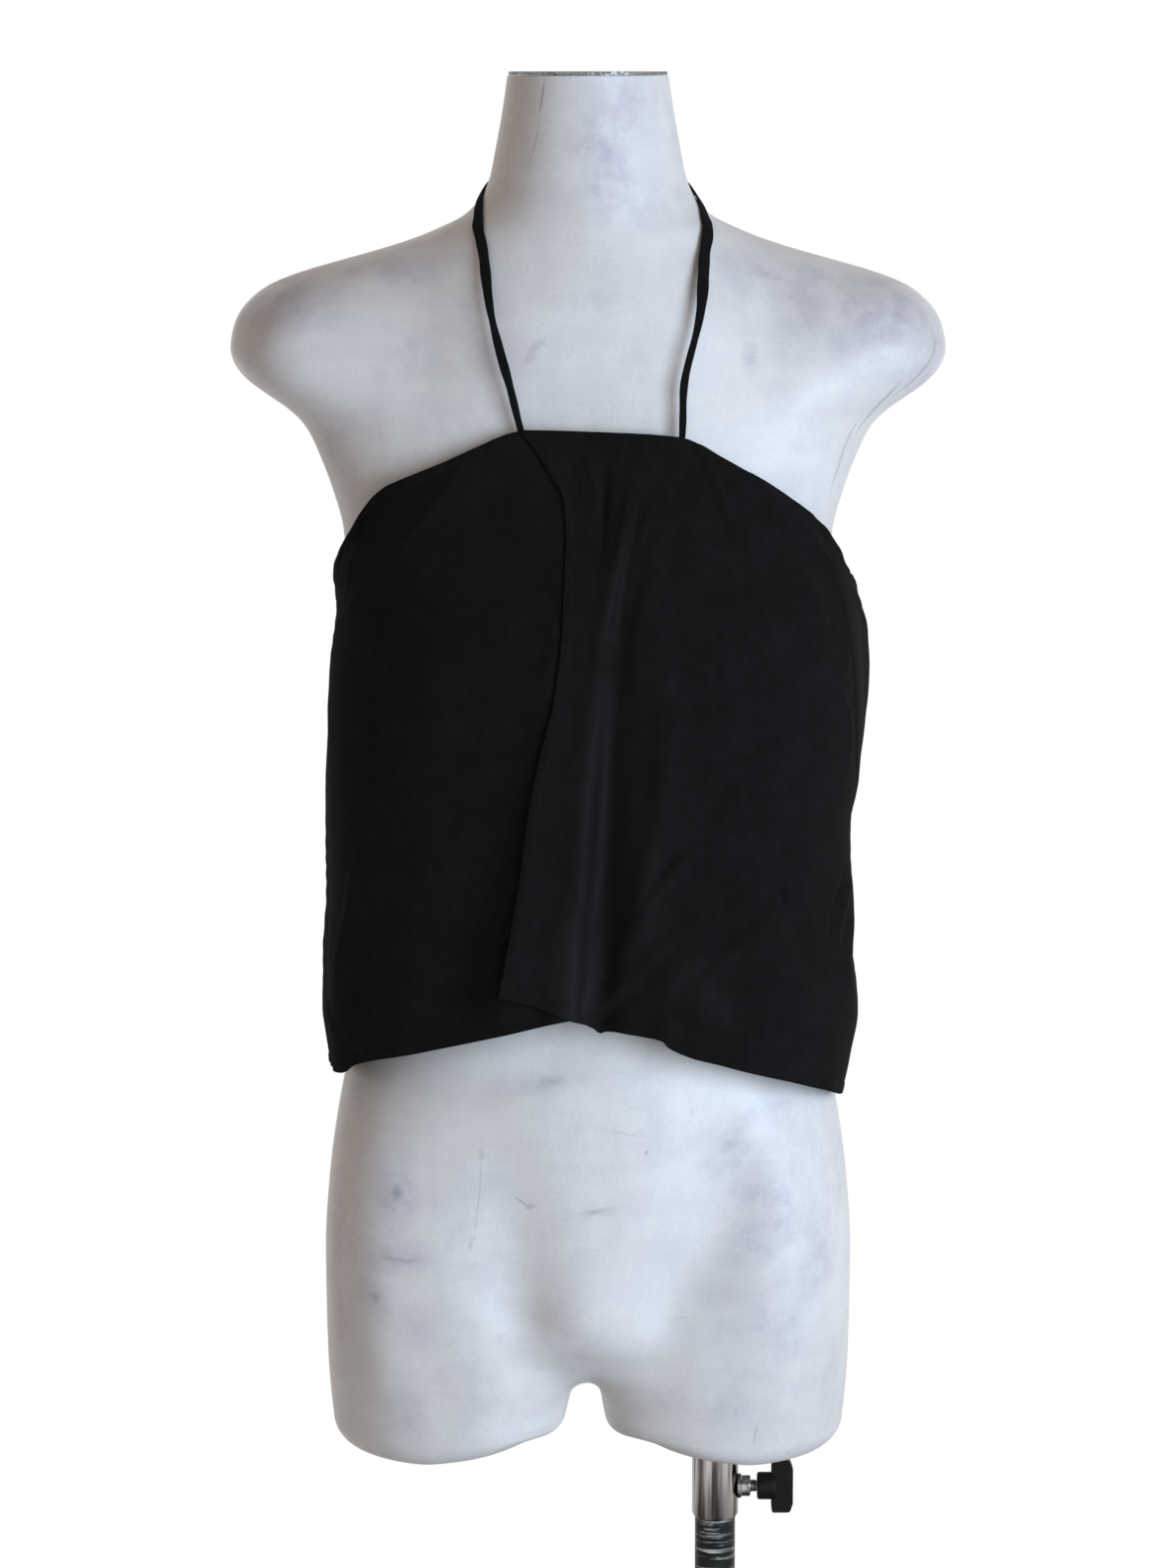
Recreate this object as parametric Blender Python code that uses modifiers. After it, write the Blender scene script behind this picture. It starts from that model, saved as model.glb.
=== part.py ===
"""Halter-neck tube top with a wrapped front, on a limbless dress form that stands on a pole and a round base.

The frame is +Z up, the garment's front faces -Y, and the origin is on the pole's axis at the floor.
The tables are in millimetres and degrees. Their heights are measured up from the bottoms of the form's
thighs. Their angles are measured round the form's own upright axis: 0 is the middle of the front, 90 is
the side towards +X, 180 is the middle of the back and -90 is the side towards -X.
"""
import math
from collections import namedtuple

import bmesh
import bpy
import numpy as np

MM = 0.001

# ---- Placing, metres ----
THIGH_HEIGHT = 0.338        # bottoms of the thighs above the floor
FORM_X = -0.076             # the form's upright axis; the pole's axis is x = 0
SEAT_GAP = 0.0003           # between neighbouring pieces

# ---- Stand, metres ----
BASE_RADIUS = 0.150
BASE_THICKNESS = 0.008
HUB_RADIUS = 0.020
HUB_HEIGHT = 0.032
PLATE_CHAMFER = 0.0015
POLE_RADIUS = 0.012
POLE_CHAMFER = 0.0008
POLE_REACH = 0.250          # how far the pole's top stands above the thigh bottoms
BORE_RADIUS = 0.013
BORE_DEPTH = 0.450          # leaves room for the form to be lowered
OVERRUN = 0.010             # how far a cutter runs out of the piece
COLLAR_RADIUS = 0.0138
COLLAR_HEIGHT = 0.050
CLAMP_DROP = 0.032          # clamp screw's axis below the thigh bottoms
BOSS_RADIUS = 0.0067
BOSS_REACH = 0.0210         # from the pole's axis to the boss's face
SCREW_RADIUS = 0.0040
SCREW_CHAMFER = 0.0004
HUB_START = 0.0250          # from the pole's axis to the knob's hub
KNOB_HUB_RADIUS = 0.0088
KNOB_HUB_LENGTH = 0.0085
WING_LENGTH = 0.0130        # along the screw
WING_HALF_SPAN = 0.0160
WING_THICKNESS = 0.0070
WING_WAIST_SHARE = 0.30     # the wing stays fuller at its middle, and the hub reaches this far into it
CAP_THICKNESS = 0.0020
CAP_SCALE = 0.985           # the neck plate against the neck's top

# ---- Form, millimetres ----
FormRing = namedtuple("FormRing", "height half_width front back squareness")
FORM_RINGS = [
    FormRing(802, 46.2, 54.0, 42.2, 2.00),      # top of the neck
    FormRing(783, 49.0, 55.0, 45.5, 2.00),
    FormRing(760, 53.2, 57.5, 50.0, 2.00),
    FormRing(741, 57.4, 60.0, 55.0, 2.00),
    FormRing(723, 70.5, 62.5, 62.0, 1.95),      # foot of the neck
    FormRing(716, 84.5, 63.5, 65.5, 1.85),
    FormRing(709, 101.5, 65.0, 68.5, 1.72),
    FormRing(700, 131.5, 67.0, 72.5, 1.60),     # slope of the shoulders
    FormRing(692, 161.5, 69.5, 75.5, 1.57),
    FormRing(686, 178.3, 71.0, 77.5, 1.60),
    FormRing(680, 190.0, 73.0, 79.5, 1.66),
    FormRing(671, 198.8, 75.0, 82.0, 1.78),
    FormRing(660, 204.5, 77.0, 84.5, 1.90),
    FormRing(646, 206.8, 79.5, 87.0, 2.05),     # widest at the shoulder caps
    FormRing(636, 203.2, 81.0, 88.5, 2.12),
    FormRing(626, 193.8, 82.5, 89.5, 2.18),
    FormRing(613, 174.2, 85.0, 90.5, 2.25),
    FormRing(602, 163.0, 87.0, 91.0, 2.28),
    FormRing(586, 155.4, 89.5, 91.5, 2.30),
    FormRing(566, 147.9, 93.0, 91.5, 2.32),
    FormRing(540, 141.2, 97.0, 90.5, 2.34),     # under the arms
    FormRing(500, 140.0, 99.5, 88.0, 2.38),
    FormRing(467, 138.0, 99.5, 85.5, 2.40),
    FormRing(432, 131.0, 96.5, 81.5, 2.36),
    FormRing(395, 121.5, 91.5, 76.5, 2.28),
    FormRing(350, 116.5, 88.5, 73.5, 2.20),     # waist
    FormRing(305, 121.5, 91.0, 79.0, 2.18),
    FormRing(262, 133.0, 98.0, 91.5, 2.25),
    FormRing(208, 145.9, 103.5, 106.0, 2.40),
    FormRing(160, 152.6, 103.5, 111.5, 2.52),
    FormRing(118, 155.2, 101.0, 111.0, 2.56),   # hips
    FormRing(75, 154.8, 96.5, 105.0, 2.54),
]
FORM_COLUMNS = 18                               # round each half
FORM_STEP = 19.0                                # largest step between rings
NECK_STEP = 7.0                                 # the same round the foot of the neck
NECK_FOOT = (700, 760)                          # where that holds
NORMAL_REACH = 1.5                              # degrees and millimetres to each side

Bump = namedtuple("Bump", "angle height rise across along")
FORM_BUMPS = [
    Bump(37, 467, 30.0, 46.0, 50.0),            # bust
    Bump(152, 128, 13.0, 55.0, 56.0),           # seat
]

ThighRing = namedtuple("ThighRing", "height inner outer front back")
THIGH_RINGS = [
    ThighRing(49, 0.0, 154.2, 93.0, 101.5),     # the fork
    ThighRing(43, 10.0, 153.8, 92.3, 101.0),
    ThighRing(30, 14.5, 152.8, 91.0, 100.0),
    ThighRing(17, 18.5, 151.5, 89.5, 98.5),
]
OUTER_SQUARENESS = 2.54                         # the thigh's outer side goes on from the hips
INNER_SQUARENESS = 2.40
THIGH_ROUNDING = 17.0                           # edge radius under the thighs
THIGH_TURN = 60.0                               # half the turn of each thigh's inner side
FORK_COLUMNS = 4                                # across the fork, front to back
FORK_HEIGHT = 47.0
FORK_LIP = 68.0                                 # half its length, front to back
BLEND_HEIGHT = 62.0                             # ring between the hips and the thighs
BLEND_SHARE = 0.35

# ---- Garment, millimetres ----
CLOTH_THICKNESS = 1.0
CLOTH_CLEARANCE = 1.3                           # from the form to the middle of the cloth
CLOTH_SOFTNESS = 2.4                            # how gradually the cloth meets the form
SEAM_GAP = 0.36
OVERLAP_LIFT = 2.0                              # the wrapped panel above the one under it
OVERLAP_RAMP = 9.0                              # degrees over which it comes down again
GRID_ROWS = 24
UNDER_COLUMNS = 24
OVER_COLUMNS = 28
BACK_COLUMNS = 28
GRID_SETTLING = 30                              # rounds that settle a grid between its leaning edges
MID_HEIGHT = 400.0                              # where that starts
MEAN_RADIUS = 135.0                             # turns an angle into a length along the cloth

ClothRing = namedtuple("ClothRing", "height left right front back squareness")
CLOTH_RINGS = [
    ClothRing(606, 153.0, 153.0, 94.0, 94.0, 2.40),     # neckline
    ClothRing(580, 151.0, 152.5, 101.5, 94.0, 2.42),
    ClothRing(550, 146.5, 148.5, 110.0, 94.0, 2.48),
    ClothRing(530, 145.5, 149.5, 116.5, 94.0, 2.55),
    ClothRing(500, 145.5, 155.5, 123.5, 94.5, 2.65),
    ClothRing(470, 148.5, 158.5, 127.5, 95.5, 2.72),    # bust
    ClothRing(440, 150.5, 159.0, 128.5, 98.0, 2.75),
    ClothRing(400, 152.8, 157.5, 128.0, 101.5, 2.70),
    ClothRing(370, 153.5, 153.0, 127.5, 104.5, 2.65),
    ClothRing(330, 153.8, 152.6, 127.0, 108.0, 2.60),
    ClothRing(295, 155.8, 154.8, 127.0, 111.5, 2.55),
    ClothRing(262, 156.0, 158.5, 127.0, 114.5, 2.50),
    ClothRing(236, 153.0, 154.0, 126.0, 116.5, 2.50),
    ClothRing(206, 150.0, 147.5, 124.0, 118.0, 2.50),   # hem
]

# Edges that run down a panel: the angle at each height.
SideEdge = namedtuple("SideEdge", "height angle")
LEFT_SEAM = [
    SideEdge(200, -92.0), SideEdge(420, -89.5), SideEdge(465, -87.0), SideEdge(502, -80.0),
    SideEdge(530, -73.0), SideEdge(560, -63.5),
]
RIGHT_SEAM = [
    SideEdge(200, 88.5), SideEdge(330, 85.5), SideEdge(377, 79.5), SideEdge(422, 71.5),
    SideEdge(465, 68.8), SideEdge(527, 67.5), SideEdge(565, 60.5),
]
OVER_EDGE = [
    SideEdge(285, -20.2), SideEdge(321, -17.9), SideEdge(360, -15.4), SideEdge(394, -13.7),
    SideEdge(428, -11.1), SideEdge(460, -8.0), SideEdge(500, -6.4), SideEdge(540, -6.2),
    SideEdge(568, -7.4), SideEdge(586, -13.2), SideEdge(606, -22.0),
]
UNDER_EDGE = [
    SideEdge(285, 26.4), SideEdge(321, 24.5), SideEdge(360, 22.2), SideEdge(394, 20.6),
    SideEdge(428, 18.3), SideEdge(460, 16.0), SideEdge(500, 14.4), SideEdge(540, 14.2),
    SideEdge(568, 15.8), SideEdge(586, 22.0), SideEdge(606, 30.5),
]

# Edges that run round the garment: the height at each angle.
RoundEdge = namedtuple("RoundEdge", "angle height")
FRONT_TOP = [
    RoundEdge(-74, 534), RoundEdge(-65.6, 551.5), RoundEdge(-56.7, 572), RoundEdge(-49.8, 579.5),
    RoundEdge(-42.6, 587), RoundEdge(-34.3, 596), RoundEdge(-25.5, 604), RoundEdge(-20.5, 606),
    RoundEdge(4, 605), RoundEdge(29, 602), RoundEdge(33, 599), RoundEdge(39.8, 590),
    RoundEdge(47, 579), RoundEdge(55.7, 566), RoundEdge(63.8, 552.5), RoundEdge(71, 536),
]
BACK_TOP = [
    RoundEdge(52, 572), RoundEdge(63.8, 552.5), RoundEdge(71, 536), RoundEdge(78, 522),
    RoundEdge(90, 511), RoundEdge(105, 500), RoundEdge(125, 493), RoundEdge(150, 490),
    RoundEdge(180, 489), RoundEdge(210, 490), RoundEdge(235, 494), RoundEdge(255, 502),
    RoundEdge(272, 515), RoundEdge(286, 534), RoundEdge(294.4, 551.5), RoundEdge(303, 569),
]
UNDER_HEM = [
    RoundEdge(-93, 226), RoundEdge(-82, 230), RoundEdge(-63, 235), RoundEdge(-58, 242),
    RoundEdge(-41.4, 254), RoundEdge(-24.7, 265), RoundEdge(-13.5, 272), RoundEdge(-4.5, 277),
    RoundEdge(10, 281), RoundEdge(27, 284),
]
OVER_HEM = [
    RoundEdge(-21, 293), RoundEdge(-12, 285), RoundEdge(-4.5, 277.4), RoundEdge(1.2, 271.8),
    RoundEdge(3.2, 268.8), RoundEdge(4.6, 269.8), RoundEdge(15, 266.6), RoundEdge(18.2, 264.6),
    RoundEdge(19.6, 260.8), RoundEdge(33.5, 248), RoundEdge(49.8, 235), RoundEdge(61.5, 225.5),
    RoundEdge(76, 215.2), RoundEdge(84, 213), RoundEdge(89, 216),
]
BACK_HEM = [
    RoundEdge(87, 215.5), RoundEdge(96, 210), RoundEdge(110, 208), RoundEdge(145, 211), RoundEdge(180, 214),
    RoundEdge(215, 216), RoundEdge(245, 220), RoundEdge(269, 226),
]

# Large folds: three points on each fold's line, and its rise there, minus for a trough.
Fold = namedtuple("Fold", "angle1 height1 rise1 angle2 height2 rise2 angle3 height3 rise3 width")
FOLDS = [
    Fold(-7.0, 540, 0.8, -10.5, 430, 4.2, -20.5, 288, 7.0, 15.0),  # ridge under the free edge
    Fold(13.5, 541, -0.8, 4.6, 420, -3.6, 3.0, 276, -3.4, 12.0),   # valley down its right side
    Fold(19.0, 455, 0.8, 15.6, 380, 3.8, 8.0, 296, 2.6, 12.0),     # ridge beyond the valley
    Fold(-8.0, 585, 0.5, -3.0, 560, -2.4, -1.0, 520, -0.5, 11.0),  # hollow under the neckline
    Fold(-20.0, 440, 0.4, -28.0, 345, -2.4, -36.0, 268, -3.0, 17.0),
    Fold(-30.0, 592, 1.2, -43.0, 560, 3.2, -54.0, 520, 1.4, 15.0), # from the left strap
    Fold(38.0, 585, 1.0, 52.0, 548, 3.0, 61.0, 490, 1.2, 14.0),    # from the right strap
    Fold(40.0, 330, 0.4, 47.0, 300, 2.6, 56.0, 262, 1.0, 16.0),
    Fold(-52.0, 430, 0.6, -58.0, 340, 3.0, -64.0, 240, 3.6, 20.0),
    Fold(-78.0, 440, 0.8, -80.0, 340, -3.0, -79.0, 235, -3.4, 16.0),
    Fold(73.0, 360, 0.8, 75.0, 320, 3.6, 71.0, 285, 1.0, 13.0),
    Fold(88.0, 500, 1.5, 95.0, 455, 6.5, 100.0, 385, 2.0, 17.0),   # bulge of the back at the side
    Fold(103.0, 430, -1.0, 107.0, 330, -5.0, 108.0, 215, -6.5, 20.0),
    Fold(124.0, 470, 1.0, 127.0, 340, 6.0, 130.0, 210, 9.0, 22.0),
    Fold(145.0, 450, -0.8, 147.0, 330, -4.5, 149.0, 210, -6.0, 18.0),
    Fold(165.0, 480, 0.8, 167.0, 340, 6.5, 168.0, 212, 9.5, 23.0),
    Fold(187.0, 455, -0.6, 186.0, 330, -4.5, 186.0, 214, -6.0, 18.0),
    Fold(206.0, 480, 1.0, 205.0, 340, 6.0, 203.0, 216, 8.5, 22.0),
    Fold(225.0, 450, -0.8, 226.0, 330, -4.0, 224.0, 216, -5.5, 18.0),
    Fold(246.0, 490, 1.2, 246.0, 350, 5.5, 244.0, 218, 7.5, 21.0),
]
FOLD_STEPS = 12                                 # straight pieces along each fold's line

# ---- Neck strap, millimetres ----
StrapPoint = namedtuple("StrapPoint", "angle height stand_off width")
STRAP_POINTS = [
    StrapPoint(-22.3, 606.4, 7.6, 4.6),
    StrapPoint(-28.7, 632, 8.4, 5.0),
    StrapPoint(-34.8, 659, 7.0, 6.0),
    StrapPoint(-42.0, 688, 4.0, 6.8),
    StrapPoint(-50.5, 708, 1.8, 7.0),
    StrapPoint(-62.0, 721, 1.4, 7.0),
    StrapPoint(-78.0, 731, 1.3, 7.0),
    StrapPoint(-104.0, 739, 1.3, 7.0),
    StrapPoint(-140.0, 746, 1.3, 7.0),
    StrapPoint(-180.0, 748, 1.3, 7.0),          # the nape
    StrapPoint(-220.0, 746, 1.3, 7.0),
    StrapPoint(-256.0, 739, 1.3, 7.0),
    StrapPoint(-278.0, 729, 1.3, 7.0),
    StrapPoint(-296.5, 717, 1.5, 7.0),
    StrapPoint(-307.5, 703, 2.4, 7.0),
    StrapPoint(-314.0, 687, 5.0, 6.8),
    StrapPoint(-320.6, 659, 8.6, 6.0),
    StrapPoint(-326.4, 632, 9.0, 5.0),
    StrapPoint(-330.4, 602.4, 7.6, 4.6),
]
STRAP_THICKNESS = 1.3
STRAP_STEPS = 72
STRAP_SEAT_SHARE = 0.06                         # share of its length that bends to its seat


# ---- Curves through the tables ----

def smooth_curve(known_x, known_y, x):
    """A curve through the known points that never overshoots them (Fritsch and Carlson's slopes)."""
    known_x, known_y = np.asarray(known_x, float), np.asarray(known_y, float)
    order = np.argsort(known_x)
    known_x, known_y = known_x[order], known_y[order]
    step = np.diff(known_x)
    slope = np.diff(known_y) / step
    tangent = np.zeros(len(known_x))
    tangent[0], tangent[-1] = slope[0], slope[-1]
    same_way = slope[:-1] * slope[1:] > 0
    before, after = 2 * step[1:] + step[:-1], step[1:] + 2 * step[:-1]
    safe_low = np.where(same_way, slope[:-1], 1.0)
    safe_high = np.where(same_way, slope[1:], 1.0)
    mean = (before + after) / (before / safe_low + after / safe_high)
    tangent[1:-1] = np.where(same_way, mean, 0.0)
    x = np.clip(np.asarray(x, float), known_x[0], known_x[-1])
    place = np.clip(np.searchsorted(known_x, x, side="right") - 1, 0, len(step) - 1)
    t = (x - known_x[place]) / step[place]
    rise = step[place]
    return ((2 * t**3 - 3 * t**2 + 1) * known_y[place] + (t**3 - 2 * t**2 + t) * rise * tangent[place]
            + (3 * t**2 - 2 * t**3) * known_y[place + 1] + (t**3 - t**2) * rise * tangent[place + 1])


def column(table, name):
    return [getattr(row, name) for row in table]


def read_table(table, key, name, at):
    return smooth_curve(column(table, key), column(table, name), at)


def smooth_step(t):
    t = np.clip(t, 0.0, 1.0)
    return t * t * (3.0 - 2.0 * t)


def turn_between(angle, centre):
    """The turn from centre to angle, in degrees from -180 to 180."""
    return (np.asarray(angle) - centre + 180.0) % 360.0 - 180.0


# ---- The form's surface ----

def ring_radius(angle, half_width, front, back, squareness):
    """Radius of a rounded, oblong ring in the direction of an angle."""
    turn = np.radians(angle)
    depth = np.where(np.cos(turn) > 0.0, front, back)
    across = np.abs(np.sin(turn) / half_width) ** squareness
    through = np.abs(np.cos(turn) / depth) ** squareness
    return (across + through) ** (-1.0 / squareness)


def form_radius(angle, height):
    parts = [read_table(FORM_RINGS, "height", name, height)
             for name in ("half_width", "front", "back", "squareness")]
    radius = ring_radius(angle, *parts)
    for bump in FORM_BUMPS:
        for side in (1.0, -1.0):
            sideways = np.radians(turn_between(angle, side * bump.angle)) * MEAN_RADIUS / bump.across
            upwards = (height - bump.height) / bump.along
            radius = radius + bump.rise * np.exp(-sideways**2 - upwards**2)
    return radius


def polar_point(angle, radius, height):
    turn = np.radians(angle)
    return np.stack([radius * np.sin(turn), -radius * np.cos(turn), height + 0.0 * radius], axis=-1)


def form_point(angle, height):
    return polar_point(angle, form_radius(angle, height), height)


def form_normal(angle, height):
    """Outward direction of the form's surface."""
    round_step = form_point(angle + NORMAL_REACH, height) - form_point(angle - NORMAL_REACH, height)
    rise_step = form_point(angle, height + NORMAL_REACH) - form_point(angle, height - NORMAL_REACH)
    normal = np.cross(round_step, rise_step)
    return normal / np.linalg.norm(normal, axis=-1, keepdims=True)


# ---- The cloth's surface ----

def fold_rise(angle, height):
    """How far the large folds lift the cloth."""
    total = np.zeros(np.broadcast(angle, height).shape)
    along = np.linspace(0.0, 1.0, FOLD_STEPS + 1)
    for fold in FOLDS:
        start = np.array([fold.angle1, fold.height1])
        middle = np.array([fold.angle2, fold.height2])
        end = np.array([fold.angle3, fold.height3])
        control = 2.0 * middle - 0.5 * (start + end)
        line = (np.outer((1 - along)**2, start) + np.outer(2 * along * (1 - along), control)
                + np.outer(along**2, end))
        place_x = np.radians(turn_between(angle, fold.angle2)) * MEAN_RADIUS
        line_x = np.radians(line[:, 0] - fold.angle2) * MEAN_RADIUS
        nearest = np.full(total.shape, np.inf)
        nearest_t = np.zeros(total.shape)
        for k in range(FOLD_STEPS):
            run_x, run_y = line_x[k + 1] - line_x[k], line[k + 1, 1] - line[k, 1]
            t = ((place_x - line_x[k]) * run_x + (height - line[k, 1]) * run_y) / (run_x**2 + run_y**2)
            t = np.clip(t, 0.0, 1.0)
            distance = np.hypot(place_x - line_x[k] - t * run_x, height - line[k, 1] - t * run_y)
            closer = distance < nearest
            nearest = np.where(closer, distance, nearest)
            nearest_t = np.where(closer, (k + t) / FOLD_STEPS, nearest_t)
        rise = smooth_curve([0.0, 0.5, 1.0], [fold.rise1, fold.rise2, fold.rise3], nearest_t)
        total += rise * np.exp(-(nearest / fold.width)**2)
    return total


def cloth_radius(angle, height, lift=0.0):
    """Radius of the middle of the cloth: its draped ring, its folds, and never inside the form."""
    half_width = np.where(np.sin(np.radians(angle)) > 0.0,
                          read_table(CLOTH_RINGS, "height", "right", height),
                          read_table(CLOTH_RINGS, "height", "left", height))
    parts = [read_table(CLOTH_RINGS, "height", name, height) for name in ("front", "back", "squareness")]
    draped = ring_radius(angle, half_width, *parts) + fold_rise(angle, height)
    floor = form_radius(angle, height) + CLOTH_CLEARANCE
    return 0.5 * (draped + floor + np.sqrt((draped - floor)**2 + CLOTH_SOFTNESS**2)) + lift


def over_lift(angle, height):
    """The wrapped panel rides over the panel under it, and comes down beyond that panel's edge."""
    edge = read_table(UNDER_EDGE, "height", "angle", height)
    return OVERLAP_LIFT * smooth_step((edge + OVERLAP_RAMP - angle) / OVERLAP_RAMP)


def no_lift(angle, height):
    return 0.0 * angle


def panel_grid(left, right, bottom, top, columns, gaps, wrap=0.0):
    """Angles and heights of a panel's points, between edges that lean and curve.

    gaps holds the clearance at the left and right edges, and wrap is added to the left table's angles.
    """
    across = np.linspace(0.0, 1.0, columns + 1)[None, :]
    upwards = np.linspace(0.0, 1.0, GRID_ROWS + 1)[:, None]
    angle = np.zeros((GRID_ROWS + 1, columns + 1))
    height = np.full(angle.shape, MID_HEIGHT)
    for _ in range(GRID_SETTLING):
        start = read_table(left, "height", "angle", height) + np.degrees(gaps[0] / MEAN_RADIUS)
        end = read_table(right, "height", "angle", height) + wrap - np.degrees(gaps[1] / MEAN_RADIUS)
        angle = start + (end - start) * across
        low = read_table(bottom, "angle", "height", angle)
        high = read_table(top, "angle", "height", angle)
        height = low + (high - low) * upwards
    return angle, height


# ---- Blender helpers ----

def clear_scene():
    for item in list(bpy.data.objects):
        bpy.data.objects.remove(item)
    for group in list(bpy.data.collections):
        bpy.data.collections.remove(group)


def new_collection(name):
    group = bpy.data.collections.new(name)
    bpy.context.scene.collection.children.link(group)
    return group


def make_material(name, colour, roughness, metallic=0.0):
    material = bpy.data.materials.new(name)
    material.use_nodes = True
    shader = material.node_tree.nodes["Principled BSDF"]
    shader.inputs["Base Color"].default_value = (*colour, 1.0)
    shader.inputs["Roughness"].default_value = roughness
    shader.inputs["Metallic"].default_value = metallic
    return material


def add_object(name, bm, group, material=None, location=(0, 0, 0), rotation=(0, 0, 0)):
    mesh = bpy.data.meshes.new(name)
    bm.to_mesh(mesh)
    bm.free()
    item = bpy.data.objects.new(name, mesh)
    item.location = location
    item.rotation_euler = rotation
    group.objects.link(item)
    if material:
        mesh.materials.append(material)
        mesh.shade_smooth()
        mesh.set_sharp_from_angle(angle=math.radians(35))
    return item


def parent_at_rest(child, parent):
    """Parents an object and leaves it where it is."""
    bpy.context.view_layer.update()
    child.parent = parent
    child.matrix_parent_inverse = parent.matrix_world.inverted()


def add_bevel(item, width):
    bevel = item.modifiers.new("Chamfered edges", "BEVEL")
    bevel.width = width
    bevel.segments = 1
    bevel.limit_method = "ANGLE"
    bevel.angle_limit = math.radians(40)


def add_boolean(item, other, operation):
    cut = item.modifiers.new(operation.title(), "BOOLEAN")
    cut.operation = operation
    cut.solver = "EXACT"
    cut.object = other


def cylinder(radius, length, segments=32):
    """A cylinder up from the origin along Z."""
    bm = bmesh.new()
    bmesh.ops.create_cone(bm, cap_ends=True, segments=segments, radius1=radius, radius2=radius,
                          depth=length)
    bmesh.ops.translate(bm, verts=bm.verts, vec=(0, 0, length / 2))
    return bm


def add_cutter(name, bm, group, location=(0, 0, 0), rotation=(0, 0, 0)):
    item = add_object(name, bm, group, location=location, rotation=rotation)
    item.hide_render = True
    item.display_type = "WIRE"
    return item


def grid_mesh(points):
    """Quads through a grid of points in millimetres, facing away from the axis."""
    bm = bmesh.new()
    rows = [[bm.verts.new(tuple(point)) for point in row] for row in points * MM]
    for low, high in zip(rows, rows[1:]):
        for k in range(len(low) - 1):
            bm.faces.new((low[k], low[k + 1], high[k + 1], high[k]))
    return bm


# ---- The dress form ----

def form_heights():
    """Ring heights: the table's own, with more between where they lie far apart."""
    heights = []
    listed = column(FORM_RINGS, "height")
    for upper, lower in zip(listed, listed[1:]):
        at_neck = lower >= NECK_FOOT[0] and upper <= NECK_FOOT[1]
        pieces = math.ceil((upper - lower) / (NECK_STEP if at_neck else FORM_STEP))
        heights += [upper + (lower - upper) * k / pieces for k in range(pieces)]
    return heights + [listed[-1]]


def torso_half_ring(height):
    """Half a ring from the front to the back, with its points spread evenly over its length."""
    turn = np.radians(np.linspace(0.0, 180.0, FORM_COLUMNS + 1))
    half_width = read_table(FORM_RINGS, "height", "half_width", height)
    depth = np.where(np.cos(turn) > 0, read_table(FORM_RINGS, "height", "front", height),
                     read_table(FORM_RINGS, "height", "back", height))
    angle = np.degrees(np.arctan2(half_width * np.sin(turn), depth * np.cos(turn)))
    points = form_point(angle, np.full(angle.shape, float(height)))
    points[0, 0] = points[-1, 0] = 0.0
    return points


def thigh_ring(height, inset=0.0):
    """A closed ring round one thigh: its outer side first, then its inner side from back to front."""
    inner, outer, front, back = (read_table(THIGH_RINGS, "height", name, height)
                                 for name in ("inner", "outer", "front", "back"))
    centre = (outer + inner) / 2
    around = np.concatenate([
        np.linspace(-THIGH_TURN, 180.0 + THIGH_TURN, FORM_COLUMNS + 1),
        np.linspace(180.0 + THIGH_TURN, 360.0 - THIGH_TURN, FORK_COLUMNS + 1)[1:-1]])
    turn = np.radians(around)
    depth = np.where(np.cos(turn) > 0, -front, back)

    # the outer side lies on the hips' own outline, from its point above the thigh's centre outwards
    centre_turn = math.asin((centre / outer) ** (OUTER_SQUARENESS / 2))
    from_front = np.abs(np.where(around > 90.0, 180.0 - around, around)) / 90.0
    hip_turn = centre_turn + (math.pi / 2 - centre_turn) * from_front
    outer_x = outer * np.sin(hip_turn) ** (2 / OUTER_SQUARENESS)
    outer_y = depth * np.abs(np.cos(hip_turn)) ** (2 / OUTER_SQUARENESS)

    # the inner side rounds off from there towards the fork
    inner_x = centre - (centre - inner) * np.abs(np.sin(turn)) ** (2 / INNER_SQUARENESS)
    inner_y = (depth * (1 - (inner_x / outer) ** OUTER_SQUARENESS) ** (1 / OUTER_SQUARENESS)
               * np.abs(np.cos(turn)) ** (2 / INNER_SQUARENESS))

    is_outer = np.sin(turn) >= 0
    x = np.where(is_outer, outer_x, inner_x)
    y = np.where(is_outer, outer_y, inner_y)
    x = centre + (x - centre) * (1 - inset / (outer - centre))
    y = y * (1 - inset / front)
    return np.stack([x, y, np.full(x.shape, float(height))], axis=-1)


def join_rings(bm, upper, lower, closed=False):
    pairs = list(zip(range(len(upper)), range(1, len(upper))))
    if closed:
        pairs.append((len(upper) - 1, 0))
    for k, after in pairs:
        bm.faces.new((lower[k], lower[after], upper[after], upper[k]))


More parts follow.
